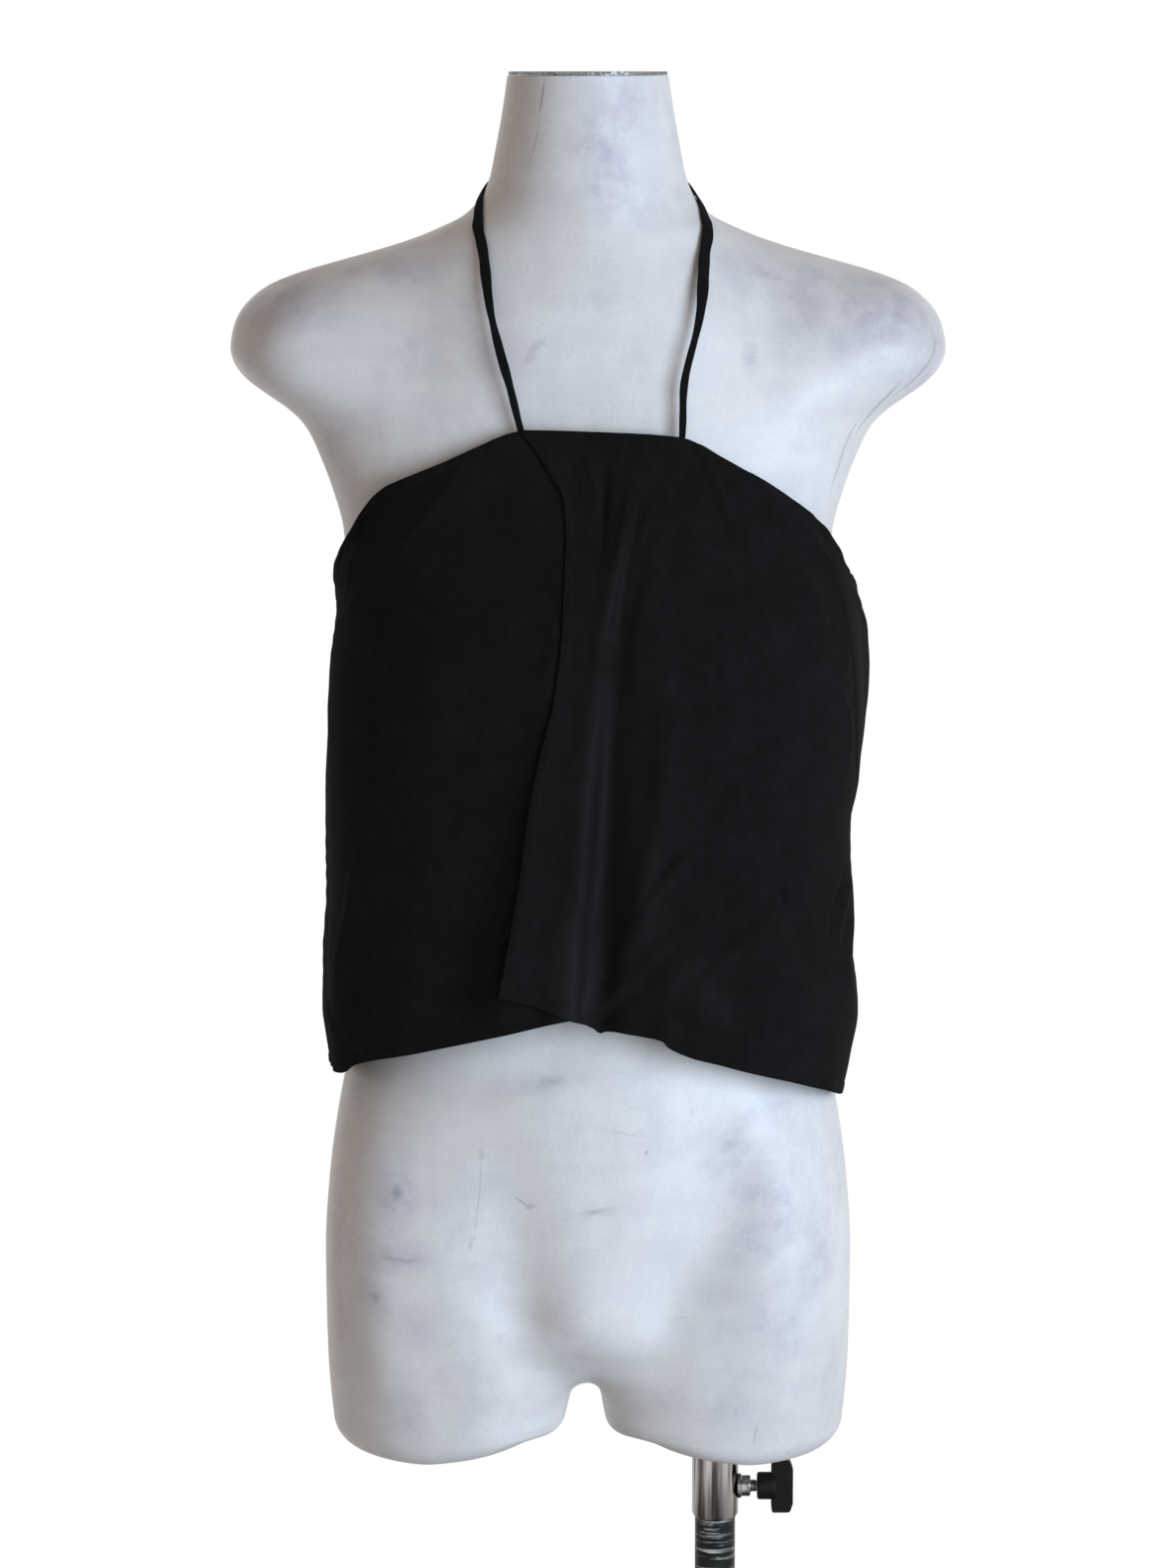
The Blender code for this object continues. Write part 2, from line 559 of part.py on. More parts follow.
def form_half_mesh():
    """The half of the form on the +X side, open at the middle plane."""
    bm = bmesh.new()

    def add_ring(points):
        return [bm.verts.new(tuple(point)) for point in points * MM]

    rings = [add_ring(torso_half_ring(height)) for height in form_heights()]
    for upper, lower in zip(rings, rings[1:]):
        join_rings(bm, upper, lower)
    bm.faces.new(rings[0])

    outer_count = FORM_COLUMNS + 1
    fork = thigh_ring(THIGH_RINGS[0].height)
    blend = (torso_half_ring(THIGH_RINGS[0].height) * (1 - BLEND_SHARE)
             + fork[:outer_count] * BLEND_SHARE)
    blend[:, 2] = BLEND_HEIGHT
    blend[0, 0] = blend[-1, 0] = 0.0
    blend_ring = add_ring(blend)
    join_rings(bm, rings[-1], blend_ring)

    fork[[0, outer_count - 1], 0] = 0.0
    fork[0, 1], fork[outer_count - 1, 1] = -FORK_LIP, FORK_LIP
    fork[outer_count:, 0] = 0.0
    fork[outer_count:, 2] = FORK_HEIGHT
    fork_ring = add_ring(fork)
    join_rings(bm, blend_ring, fork_ring[:outer_count])

    above = fork_ring
    for row in THIGH_RINGS[1:]:
        ring = add_ring(thigh_ring(row.height))
        join_rings(bm, above, ring, closed=True)
        above = ring
    for turn in (30.0, 60.0, 90.0):
        inset = THIGH_ROUNDING * (1 - math.cos(math.radians(turn)))
        ring_points = thigh_ring(THIGH_ROUNDING, inset)
        ring_points[:, 2] = THIGH_ROUNDING * (1 - math.sin(math.radians(turn)))
        ring = add_ring(ring_points)
        join_rings(bm, above, ring, closed=True)
        above = ring
    bm.faces.new(list(reversed(above)))
    return bm


def make_form(parts, cutters, material):
    form = add_object("dress_form", form_half_mesh(), parts, material, (FORM_X, 0, THIGH_HEIGHT))
    mirror = form.modifiers.new("Other half", "MIRROR")
    mirror.merge_threshold = 0.00005
    bore = add_cutter("pole_bore", cylinder(BORE_RADIUS, BORE_DEPTH + OVERRUN), cutters,
                      (0, 0, THIGH_HEIGHT - OVERRUN))
    add_boolean(form, bore, "DIFFERENCE")
    return form


def make_neck_cap(parts, material):
    """A thin plate of the neck's own outline, a little smaller."""
    outline = torso_half_ring(FORM_RINGS[0].height)[:, :2] * CAP_SCALE * MM
    mirrored = outline[-2:0:-1] * np.array([-1.0, 1.0])
    bm = bmesh.new()
    face = bm.faces.new([bm.verts.new((x, y, 0)) for x, y in np.concatenate([outline, mirrored])])
    raised = bmesh.ops.extrude_face_region(bm, geom=[face])
    top = [item for item in raised["geom"] if isinstance(item, bmesh.types.BMVert)]
    bmesh.ops.translate(bm, verts=top, vec=(0, 0, CAP_THICKNESS))
    bmesh.ops.recalc_face_normals(bm, faces=bm.faces)
    height = THIGH_HEIGHT + FORM_RINGS[0].height * MM + SEAT_GAP
    return add_object("neck_cap", bm, parts, material, (FORM_X, 0, height))


# ---- The garment ----

def make_panel(name, parts, material, grid, lift):
    angle, height = grid
    radius = cloth_radius(angle, height, lift(angle, height))
    panel = add_object(name, grid_mesh(polar_point(angle, radius, height)), parts, material,
                       (FORM_X, 0, THIGH_HEIGHT))
    wall = panel.modifiers.new("Cloth wall", "SOLIDIFY")
    wall.thickness = CLOTH_THICKNESS * MM
    wall.offset = 0.0
    return panel


def strap_points():
    """Middle line of the strap, its outward direction and its width, from one neckline end to the other."""
    known = np.linspace(0.0, 1.0, len(STRAP_POINTS))
    along = np.linspace(0.0, 1.0, STRAP_STEPS + 1)
    angle, height, stand_off, width = (
        smooth_curve(known, column(STRAP_POINTS, name), along)
        for name in ("angle", "height", "stand_off", "width"))
    normal = form_normal(angle, height)
    middle = form_point(angle, height) + normal * stand_off[:, None]
    # each end is drawn onto the wall of the panel that it is sewn to
    for end, lift in ((0, no_lift), (-1, over_lift)):
        end_angle = turn_between(angle[end], 0.0)
        top = read_table(FRONT_TOP, "angle", "height", end_angle)
        radius = cloth_radius(end_angle, top, lift(end_angle, top))
        seat = polar_point(end_angle, radius, top + SEAM_GAP)
        weight = smooth_step(1.0 - np.abs(along - along[end]) / STRAP_SEAT_SHARE)
        middle = middle + weight[:, None] * (seat - middle[end])
    return middle, normal, width


def above_neckline(point):
    """Moves a point of the strap's end up or down to the seam gap above the neckline."""
    angle = math.degrees(math.atan2(point[0], -point[1]))
    return np.array([point[0], point[1], read_table(FRONT_TOP, "angle", "height", angle) + SEAM_GAP])


def make_strap(parts, material):
    middle, normal, width = strap_points()
    forward = np.gradient(middle, axis=0)
    sideways = np.cross(forward, normal)
    sideways /= np.linalg.norm(sideways, axis=1, keepdims=True)
    bm = bmesh.new()
    rings = []
    for k, (centre, side, out, across) in enumerate(zip(middle, sideways, normal, width)):
        half, rise = side * across / 2, out * STRAP_THICKNESS / 2
        corners = [centre - half - rise, centre + half - rise, centre + half + rise, centre - half + rise]
        if k in (0, STRAP_STEPS):
            corners = [above_neckline(corner) for corner in corners]
        rings.append([bm.verts.new(tuple(corner * MM)) for corner in corners])
    for near, far in zip(rings, rings[1:]):
        join_rings(bm, near, far, closed=True)
    bm.faces.new(rings[0])
    bm.faces.new(list(reversed(rings[-1])))
    bmesh.ops.recalc_face_normals(bm, faces=bm.faces)
    return add_object("neck_strap", bm, parts, material, (FORM_X, 0, THIGH_HEIGHT))


def make_garment(parts, material):
    half_seam = SEAM_GAP / 2
    under = panel_grid(LEFT_SEAM, UNDER_EDGE, UNDER_HEM, FRONT_TOP, UNDER_COLUMNS, (half_seam, 0.0))
    over = panel_grid(OVER_EDGE, RIGHT_SEAM, OVER_HEM, FRONT_TOP, OVER_COLUMNS, (0.0, half_seam))
    back = panel_grid(RIGHT_SEAM, LEFT_SEAM, BACK_HEM, BACK_TOP, BACK_COLUMNS, (half_seam, half_seam),
                      wrap=360.0)
    return [
        make_panel("front_under", parts, material, under, no_lift),
        make_panel("front_over", parts, material, over, over_lift),
        make_panel("back", parts, material, back, no_lift),
        make_strap(parts, material),
    ]


# ---- The stand ----

def turned(name, profile, group, material, location=(0, 0, 0)):
    """A turned piece: the profile runs up the inside and down the outside, at +X."""
    bm = bmesh.new()
    points = [bm.verts.new((x, 0, z)) for x, z in profile]
    for near, far in zip(points, points[1:]):
        bm.edges.new((near, far))
    item = add_object(name, bm, group, material, location)
    screw = item.modifiers.new("Turned", "SCREW")
    screw.steps = screw.render_steps = 48
    screw.use_merge_vertices = True
    screw.merge_threshold = 0.00001
    return item


def make_base(parts, material):
    """A round steel plate with a socket for the pole."""
    socket = POLE_RADIUS + SEAT_GAP
    edge = PLATE_CHAMFER
    profile = [
        (0.0, BASE_THICKNESS), (socket, BASE_THICKNESS), (socket, HUB_HEIGHT),
        (HUB_RADIUS - edge, HUB_HEIGHT), (HUB_RADIUS, HUB_HEIGHT - edge), (HUB_RADIUS, BASE_THICKNESS),
        (BASE_RADIUS - edge, BASE_THICKNESS), (BASE_RADIUS, BASE_THICKNESS - edge), (BASE_RADIUS, 0.0),
        (0.0, 0.0),
    ]
    return turned("base_plate", profile, parts, material)


def make_pole(parts, material):
    bottom = BASE_THICKNESS + SEAT_GAP
    pole = add_object("pole", cylinder(POLE_RADIUS, THIGH_HEIGHT + POLE_REACH - bottom), parts, material,
                      (0, 0, bottom))
    add_bevel(pole, POLE_CHAMFER)
    return pole


def make_collar(parts, cutters, material):
    """A clamp collar under the thigh, with a boss on its side for the clamp screw."""
    bottom = THIGH_HEIGHT - COLLAR_HEIGHT
    collar = add_object("collar", cylinder(COLLAR_RADIUS, COLLAR_HEIGHT - SEAT_GAP, 40), parts, material,
                        (0, 0, bottom))
    sideways = (0, math.radians(90), 0)
    level = THIGH_HEIGHT - CLAMP_DROP
    boss = add_cutter("collar_boss", cylinder(BOSS_RADIUS, BOSS_REACH, 28), cutters, (0, 0, level), sideways)
    bore = add_cutter("collar_bore", cylinder(POLE_RADIUS + SEAT_GAP, COLLAR_HEIGHT + 2 * OVERRUN, 40),
                      cutters, (0, 0, bottom - OVERRUN))
    tapping = add_cutter("screw_hole", cylinder(SCREW_RADIUS + SEAT_GAP, BOSS_REACH + OVERRUN, 24), cutters,
                         (0, 0, level), sideways)
    add_boolean(collar, boss, "UNION")
    add_boolean(collar, bore, "DIFFERENCE")
    add_boolean(collar, tapping, "DIFFERENCE")
    return collar


def make_clamp_screw(parts, material):
    start = POLE_RADIUS + SEAT_GAP
    screw = add_object("clamp_screw", cylinder(SCREW_RADIUS, HUB_START - SEAT_GAP - start, 24), parts,
                       material, (start, 0, THIGH_HEIGHT - CLAMP_DROP), (0, math.radians(90), 0))
    add_bevel(screw, SCREW_CHAMFER)
    return screw


def wing_mesh():
    """The knob's flat wing: an oblong with rounded ends, standing off the hub along +Z."""
    curve = bpy.data.curves.new("wing_outline", "CURVE")
    curve.dimensions = "2D"
    curve.fill_mode = "BOTH"
    curve.extrude = WING_THICKNESS / 2
    waist, tip = WING_LENGTH * WING_WAIST_SHARE, WING_LENGTH / 2
    outline = [(-WING_HALF_SPAN, -tip * 0.6), (-WING_HALF_SPAN * 0.8, -tip), (0, -waist),
               (WING_HALF_SPAN * 0.8, -tip), (WING_HALF_SPAN, -tip * 0.6), (WING_HALF_SPAN, tip * 0.6),
               (WING_HALF_SPAN * 0.8, tip), (0, tip * 0.8), (-WING_HALF_SPAN * 0.8, tip),
               (-WING_HALF_SPAN, tip * 0.6)]
    spline = curve.splines.new("POLY")
    spline.points.add(len(outline) - 1)
    for point, (across, along) in zip(spline.points, outline):
        point.co = (across, along, 0, 1)
    spline.use_cyclic_u = True
    holder = bpy.data.objects.new("wing_outline", curve)
    bpy.context.scene.collection.objects.link(holder)
    bpy.context.view_layer.update()
    mesh = bpy.data.meshes.new_from_object(holder.evaluated_get(bpy.context.evaluated_depsgraph_get()))
    bm = bmesh.new()
    bm.from_mesh(mesh)
    bmesh.ops.remove_doubles(bm, verts=bm.verts, dist=0.00001)
    bmesh.ops.recalc_face_normals(bm, faces=bm.faces)
    bpy.data.objects.remove(holder)
    bpy.data.meshes.remove(mesh)
    return bm


def make_knob(parts, cutters, material):
    level = THIGH_HEIGHT - CLAMP_DROP
    hub_length = KNOB_HUB_LENGTH + WING_LENGTH * WING_WAIST_SHARE
    knob = add_object("wing_knob", cylinder(KNOB_HUB_RADIUS, hub_length, 28), parts, material,
                      (HUB_START, 0, level), (0, math.radians(90), 0))
    wing_centre = HUB_START + KNOB_HUB_LENGTH + WING_LENGTH / 2
    wing = add_cutter("knob_wing", wing_mesh(), cutters, (wing_centre, 0, level),
                      (math.radians(90), math.radians(90), 0))
    add_boolean(knob, wing, "UNION")
    return knob


def main():
    clear_scene()
    parts = new_collection("tube_top_on_form")
    cutters = new_collection("cutters")

    black_cloth = make_material("black_cloth", (0.012, 0.013, 0.016), 0.72)
    form_shell = make_material("form_shell", (0.80, 0.79, 0.80), 0.42)
    grey_metal = make_material("grey_metal", (0.42, 0.42, 0.43), 0.38, 1.0)
    chrome = make_material("chrome", (0.75, 0.74, 0.72), 0.16, 1.0)
    black_metal = make_material("black_metal", (0.03, 0.03, 0.032), 0.38, 0.6)
    black_plastic = make_material("black_plastic", (0.012, 0.012, 0.013), 0.4)

    form = make_form(parts, cutters, form_shell)
    neck_cap = make_neck_cap(parts, grey_metal)
    garment = make_garment(parts, black_cloth)
    make_base(parts, black_metal)
    pole = make_pole(parts, black_metal)
    collar = make_collar(parts, cutters, chrome)
    screw = make_clamp_screw(parts, chrome)
    knob = make_knob(parts, cutters, black_plastic)

    # the carriage slides on the pole, and the knob turns on the carriage
    carriage = bpy.data.objects.new("form_carriage", None)
    carriage.location = (0, 0, THIGH_HEIGHT)
    parts.objects.link(carriage)
    parent_at_rest(carriage, pole)
    for item in [form, neck_cap, collar, screw, knob] + garment:
        parent_at_rest(item, carriage)


main()
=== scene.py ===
"""Looks of a black halter-neck tube top with a wrapped front, on a limbless dress form on a clamped pole.

The tables are in millimetres and degrees. Their heights are measured up from the bottoms of the form's
thighs. Their angles are measured round the form's own upright axis: 0 is the middle of the front, 90 is
the side towards +X, 180 is the middle of the back and -90 is the side towards -X.
"""

import math
from collections import namedtuple

import bmesh
import bpy
import numpy as np
from mathutils import Matrix, Vector, noise


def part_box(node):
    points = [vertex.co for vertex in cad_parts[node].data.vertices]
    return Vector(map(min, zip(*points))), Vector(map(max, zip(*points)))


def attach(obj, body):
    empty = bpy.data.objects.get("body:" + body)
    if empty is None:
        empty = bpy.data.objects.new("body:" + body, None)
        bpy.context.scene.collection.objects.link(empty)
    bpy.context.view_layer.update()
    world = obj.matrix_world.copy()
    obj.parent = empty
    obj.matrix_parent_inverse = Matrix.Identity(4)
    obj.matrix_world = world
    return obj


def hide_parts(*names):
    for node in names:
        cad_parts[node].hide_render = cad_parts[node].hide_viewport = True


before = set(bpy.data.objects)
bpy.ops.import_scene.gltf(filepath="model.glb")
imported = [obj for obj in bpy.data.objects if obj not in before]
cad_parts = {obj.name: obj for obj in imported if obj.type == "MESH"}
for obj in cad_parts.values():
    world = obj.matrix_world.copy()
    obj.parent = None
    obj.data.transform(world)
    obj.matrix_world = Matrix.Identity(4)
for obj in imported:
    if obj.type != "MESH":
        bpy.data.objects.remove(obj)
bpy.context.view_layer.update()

MM = 0.001

# ---- Places, metres ----
SCREW_LOW, SCREW_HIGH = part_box("clamp_screw")
THIGH_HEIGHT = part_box("dress_form")[0].z  # bottoms of the thighs above the floor
FORM_X = (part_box("neck_cap")[0].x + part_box("neck_cap")[1].x) / 2
FORM_PLACE = (FORM_X, 0, THIGH_HEIGHT)
CLAMP_LEVEL = (SCREW_LOW.z + SCREW_HIGH.z) / 2


def table(columns, *rows):
    """Rows of values that are named by their columns."""
    named = namedtuple("Row", columns)
    return [named(*row) for row in rows]


def link(item):
    bpy.context.scene.collection.objects.link(item)
    return item


# ---- Camera, first ----
CAMERA_PLACE = (FORM_X, -2.80, 1.15)
CAMERA_TILT = 8.53  # degrees below level
CAMERA_LENS = 111.156
CAMERA_REACH = 50.0
SENSOR = 36.0


def make_camera():
    data = bpy.data.cameras.new("camera")
    data.sensor_fit = "VERTICAL"
    data.sensor_height = SENSOR
    data.lens = CAMERA_LENS
    data.clip_end = CAMERA_REACH
    camera = link(bpy.data.objects.new("camera", data))
    camera.location = CAMERA_PLACE
    camera.rotation_euler = (math.radians(90.0 - CAMERA_TILT), 0.0, 0.0)
    bpy.context.scene.camera = camera


make_camera()


# ---- Form, millimetres ----
FORM_RINGS = table(
    "height half_width front back squareness",
    (802, 46.2, 54, 42.2, 2),  # top of the neck
    (783, 49, 55, 45.5, 2),
    (760, 53.2, 57.5, 50, 2),
    (741, 57.4, 60, 55, 2),
    (723, 70.5, 62.5, 62, 1.95),  # foot of the neck
    (716, 84.5, 63.5, 65.5, 1.85),
    (709, 101.5, 65, 68.5, 1.72),
    (700, 131.5, 67, 72.5, 1.6),  # slope of the shoulders
    (692, 161.5, 69.5, 75.5, 1.57),
    (686, 178.3, 71, 77.5, 1.6),
    (680, 190, 73, 79.5, 1.66),
    (671, 198.8, 75, 82, 1.78),
    (660, 204.5, 77, 84.5, 1.9),
    (646, 206.8, 79.5, 87, 2.05),  # widest at the shoulder caps
    (636, 203.2, 81, 88.5, 2.12),
    (626, 193.8, 82.5, 89.5, 2.18),
    (613, 174.2, 85, 90.5, 2.25),
    (602, 163, 87, 91, 2.28),
    (586, 155.4, 89.5, 91.5, 2.3),
    (566, 147.9, 93, 91.5, 2.32),
    (540, 141.2, 97, 90.5, 2.34),  # under the arms
    (500, 140, 99.5, 88, 2.38),
    (467, 138, 99.5, 85.5, 2.4),
    (432, 131, 96.5, 81.5, 2.36),
    (395, 121.5, 91.5, 76.5, 2.28),
    (350, 116.5, 88.5, 73.5, 2.2),  # waist
    (305, 121.5, 91, 79, 2.18),
    (262, 133, 98, 91.5, 2.25),
    (208, 145.9, 103.5, 106, 2.4),
    (160, 152.6, 103.5, 111.5, 2.52),
    (118, 155.2, 101, 111, 2.56),  # hips
    (75, 154.8, 96.5, 105, 2.54),
)
NECK_FOOT = (700, 760)  # the rings lie closer together between these heights
NORMAL_REACH = 1.5  # degrees and millimetres to each side

FORM_BUMPS = table(
    "angle height rise across along",
    (37, 467, 30, 46, 50),  # bust
    (152, 128, 13, 55, 56),  # seat
)
THIGH_RINGS = table(
    "height inner outer front back",
    (49, 0, 154.2, 93, 101.5),  # the fork
    (43, 10, 153.8, 92.3, 101),
    (30, 14.5, 152.8, 91, 100),
    (17, 18.5, 151.5, 89.5, 98.5),
)
OUTER_SQUARENESS = 2.54  # the thigh's outer side goes on from the hips
INNER_SQUARENESS = 2.40
THIGH_ROUNDING = 17.0  # edge radius under the thighs
THIGH_TURN = 60.0  # half the turn of each thigh's inner side
FORK_HEIGHT = 47.0
FORK_LIP = 68.0  # half its length, front to back

# ---- Garment, millimetres ----
CLOTH_CLEARANCE = 1.3  # from the form to the middle of the cloth
CLOTH_SOFTNESS = 2.4  # how gradually the cloth meets the form
SEAM_GAP = 0.36
OVERLAP_LIFT = 2.0  # the wrapped panel above the one under it
OVERLAP_RAMP = 9.0  # degrees over which it comes down again
GRID_SETTLING = 30  # rounds that settle a grid between its leaning edges
MID_HEIGHT = 400.0  # height of the whole grid before it settles
MEAN_RADIUS = 135.0  # turns an angle into a length along the cloth

CLOTH_RINGS = table(
    "height left right front back squareness",
    (606, 153, 153, 94, 94, 2.4),  # neckline
    (580, 151, 152.5, 101.5, 94, 2.42),
    (550, 146.5, 148.5, 110, 94, 2.48),
    (530, 145.5, 149.5, 116.5, 94, 2.55),
    (500, 145.5, 155.5, 123.5, 94.5, 2.65),
    (470, 148.5, 158.5, 127.5, 95.5, 2.72),  # bust
    (440, 150.5, 159, 128.5, 98, 2.75),
    (400, 152.8, 157.5, 128, 101.5, 2.7),
    (370, 153.5, 153, 127.5, 104.5, 2.65),
    (330, 153.8, 152.6, 127, 108, 2.6),
    (295, 155.8, 154.8, 127, 111.5, 2.55),
    (262, 156, 158.5, 127, 114.5, 2.5),
    (236, 153, 154, 126, 116.5, 2.5),
    (206, 150, 147.5, 124, 118, 2.5),  # hem
)

# Edges that run down a panel: the angle at each height.
SIDE_EDGE = "height angle"
LEFT_SEAM = table(
    SIDE_EDGE,
    (200, -92), (420, -89.5), (465, -87), (502, -80), (530, -73), (560, -63.5),
)
RIGHT_SEAM = table(
    SIDE_EDGE,
    (200, 88.5), (330, 85.5), (377, 79.5), (422, 71.5), (465, 68.8), (527, 67.5), (565, 60.5),
)
OVER_EDGE = table(
    SIDE_EDGE,
    (285, -20.2), (321, -17.9), (360, -15.4), (394, -13.7), (428, -11.1), (460, -8), (500, -6.4),
    (540, -6.2), (568, -7.4), (586, -13.2), (606, -22),
)
UNDER_EDGE = table(
    SIDE_EDGE,
    (285, 26.4), (321, 24.5), (360, 22.2), (394, 20.6), (428, 18.3), (460, 16), (500, 14.4), (540, 14.2),
    (568, 15.8), (586, 22), (606, 30.5),
)

# Edges that run round the garment: the height at each angle.
ROUND_EDGE = "angle height"
FRONT_TOP = table(
    ROUND_EDGE,
    (-74, 534), (-65.6, 551.5), (-56.7, 572), (-49.8, 579.5), (-42.6, 587), (-34.3, 596), (-25.5, 604),
    (-20.5, 606), (4, 605), (29, 602), (33, 599), (39.8, 590), (47, 579), (55.7, 566), (63.8, 552.5),
    (71, 536),
)
BACK_TOP = table(
    ROUND_EDGE,
    (52, 572), (63.8, 552.5), (71, 536), (78, 522), (90, 511), (105, 500), (125, 493), (150, 490),
    (180, 489), (210, 490), (235, 494), (255, 502), (272, 515), (286, 534), (294.4, 551.5), (303, 569),
)
UNDER_HEM = table(
    ROUND_EDGE,
    (-93, 226), (-82, 230), (-63, 235), (-58, 242), (-41.4, 254), (-24.7, 265), (-13.5, 272), (-4.5, 277),
    (10, 281), (27, 284),
)
OVER_HEM = table(
    ROUND_EDGE,
    (-21, 293), (-12, 285), (-4.5, 277.4), (1.2, 271.8), (3.2, 268.8), (4.6, 269.8), (15, 266.6),
    (18.2, 264.6), (19.6, 260.8), (33.5, 248), (49.8, 235), (61.5, 225.5), (76, 215.2), (84, 213),
    (89, 216),
)
BACK_HEM = table(
    ROUND_EDGE,
    (87, 215.5), (96, 210), (110, 208), (145, 211), (180, 214), (215, 216), (245, 220), (269, 226),
)

# Each panel: its edges, which of them are seams, its rough size, and the size in metres that it is cut to,
# with its allowances for seams and hems. The back ends one full turn on from where the left seam is measured.
PANELS = table(
    "name node left right bottom top seams wraps_over turn across upwards cut_width cut_length cut_area",
    ("front_under_cloth", "front_under", LEFT_SEAM, UNDER_EDGE, UNDER_HEM, FRONT_TOP, ("left",), False, 0.0,
     250.0, 320.0, 0.34, 0.39, 0.110),
    ("front_over_cloth", "front_over", OVER_EDGE, RIGHT_SEAM, OVER_HEM, FRONT_TOP, ("right",), True, 0.0,
     230.0, 320.0, 0.32, 0.40, 0.105),
    ("back_cloth", "back", RIGHT_SEAM, LEFT_SEAM, BACK_HEM, BACK_TOP, ("left", "right"), False, 360.0,
     460.0, 290.0, 0.52, 0.33, 0.160),
)

# Large folds: three points on each fold's line, and its rise there, minus for a trough.
FOLD_LINE = "angle1 height1 rise1 angle2 height2 rise2 angle3 height3 rise3"
FOLDS = table(
    FOLD_LINE + " width",
    (-7, 540, 0.8, -10.5, 430, 4.2, -20.5, 288, 7, 15),  # ridge under the free edge
    (13.5, 541, -0.8, 4.6, 420, -3.6, 3, 276, -3.4, 12),  # valley down its right side
    (19, 455, 0.8, 15.6, 380, 3.8, 8, 296, 2.6, 12),  # ridge beyond the valley
    (-8, 585, 0.5, -3, 560, -2.4, -1, 520, -0.5, 11),  # hollow under the neckline
    (-20, 440, 0.4, -28, 345, -2.4, -36, 268, -3, 17),
    (-30, 592, 1.2, -43, 560, 3.2, -54, 520, 1.4, 15),  # from the left strap
    (38, 585, 1, 52, 548, 3, 61, 490, 1.2, 14),  # from the right strap
    (40, 330, 0.4, 47, 300, 2.6, 56, 262, 1, 16),
    (-52, 430, 0.6, -58, 340, 3, -64, 240, 3.6, 20),
    (-78, 440, 0.8, -80, 340, -3, -79, 235, -3.4, 16),
    (73, 360, 0.8, 75, 320, 3.6, 71, 285, 1, 13),
    (88, 500, 1.5, 95, 455, 6.5, 100, 385, 2, 17),  # bulge of the back at the side
    (103, 430, -1, 107, 330, -5, 108, 215, -6.5, 20),
    (124, 470, 1, 127, 340, 6, 130, 210, 9, 22),
    (145, 450, -0.8, 147, 330, -4.5, 149, 210, -6, 18),
    (165, 480, 0.8, 167, 340, 6.5, 168, 212, 9.5, 23),
    (187, 455, -0.6, 186, 330, -4.5, 186, 214, -6, 18),
    (206, 480, 1, 205, 340, 6, 203, 216, 8.5, 22),
    (225, 450, -0.8, 226, 330, -4, 224, 216, -5.5, 18),
    (246, 490, 1.2, 246, 350, 5.5, 244, 218, 7.5, 21),
)
FOLD_STEPS = 12  # straight pieces along each fold's line

# ---- Neck strap, millimetres ----
STRAP_POINTS = table(
    "angle height stand_off",
    (-22.3, 606.4, 7.6),
    (-28.7, 632, 8.4),
    (-34.8, 659, 7),
    (-42, 688, 4),
    (-50.5, 708, 1.8),
    (-62, 721, 1.4),
    (-78, 731, 1.3),
    (-104, 739, 1.3),
    (-140, 746, 1.3),
    (-180, 748, 1.3),  # the nape
    (-220, 746, 1.3),
    (-256, 739, 1.3),
    (-278, 729, 1.3),
    (-296.5, 717, 1.5),
    (-307.5, 703, 2.4),
    (-314, 687, 5),
    (-320.6, 659, 8.6),
    (-326.4, 632, 9),
    (-330.4, 602.4, 7.6),
)
STRAP_THICKNESS = 1.3
STRAP_SEAT_SHARE = 0.06  # share of its length that bends to its seat
STRAP_RINGS = 260
STRAP_SIDES = 14
STRAP_TUCK = 9.0  # how far each end goes down behind the neckline
STRAP_TUCK_RINGS = 5
STRAP_TUCK_DEPTH = 1.5  # how far behind the cloth's middle
STRAP_TAUTNESS = 26  # rounds of straightening under its own pull
STRAP_CLEARANCE = 1.1
STRAP_FLATNESS = (0.7, 0.8)  # of its rounded section, across and outwards
# Its width waves a little: how much, and over what length.
STRAP_WAVES = ((0.05, 7.0), (0.04, 3.1))
STRAP_WIDTHS = table(
    "place width",
    (0, 3.6), (0.035, 4.4), (0.08, 5.2), (0.118, 4.2), (0.16, 5.6), (0.23, 6.6), (0.3, 7), (0.5, 7),
    (0.7, 7), (0.78, 7), (0.85, 6.2), (0.888, 4.4), (0.912, 3.8), (0.95, 4.6), (1, 3.6),
)

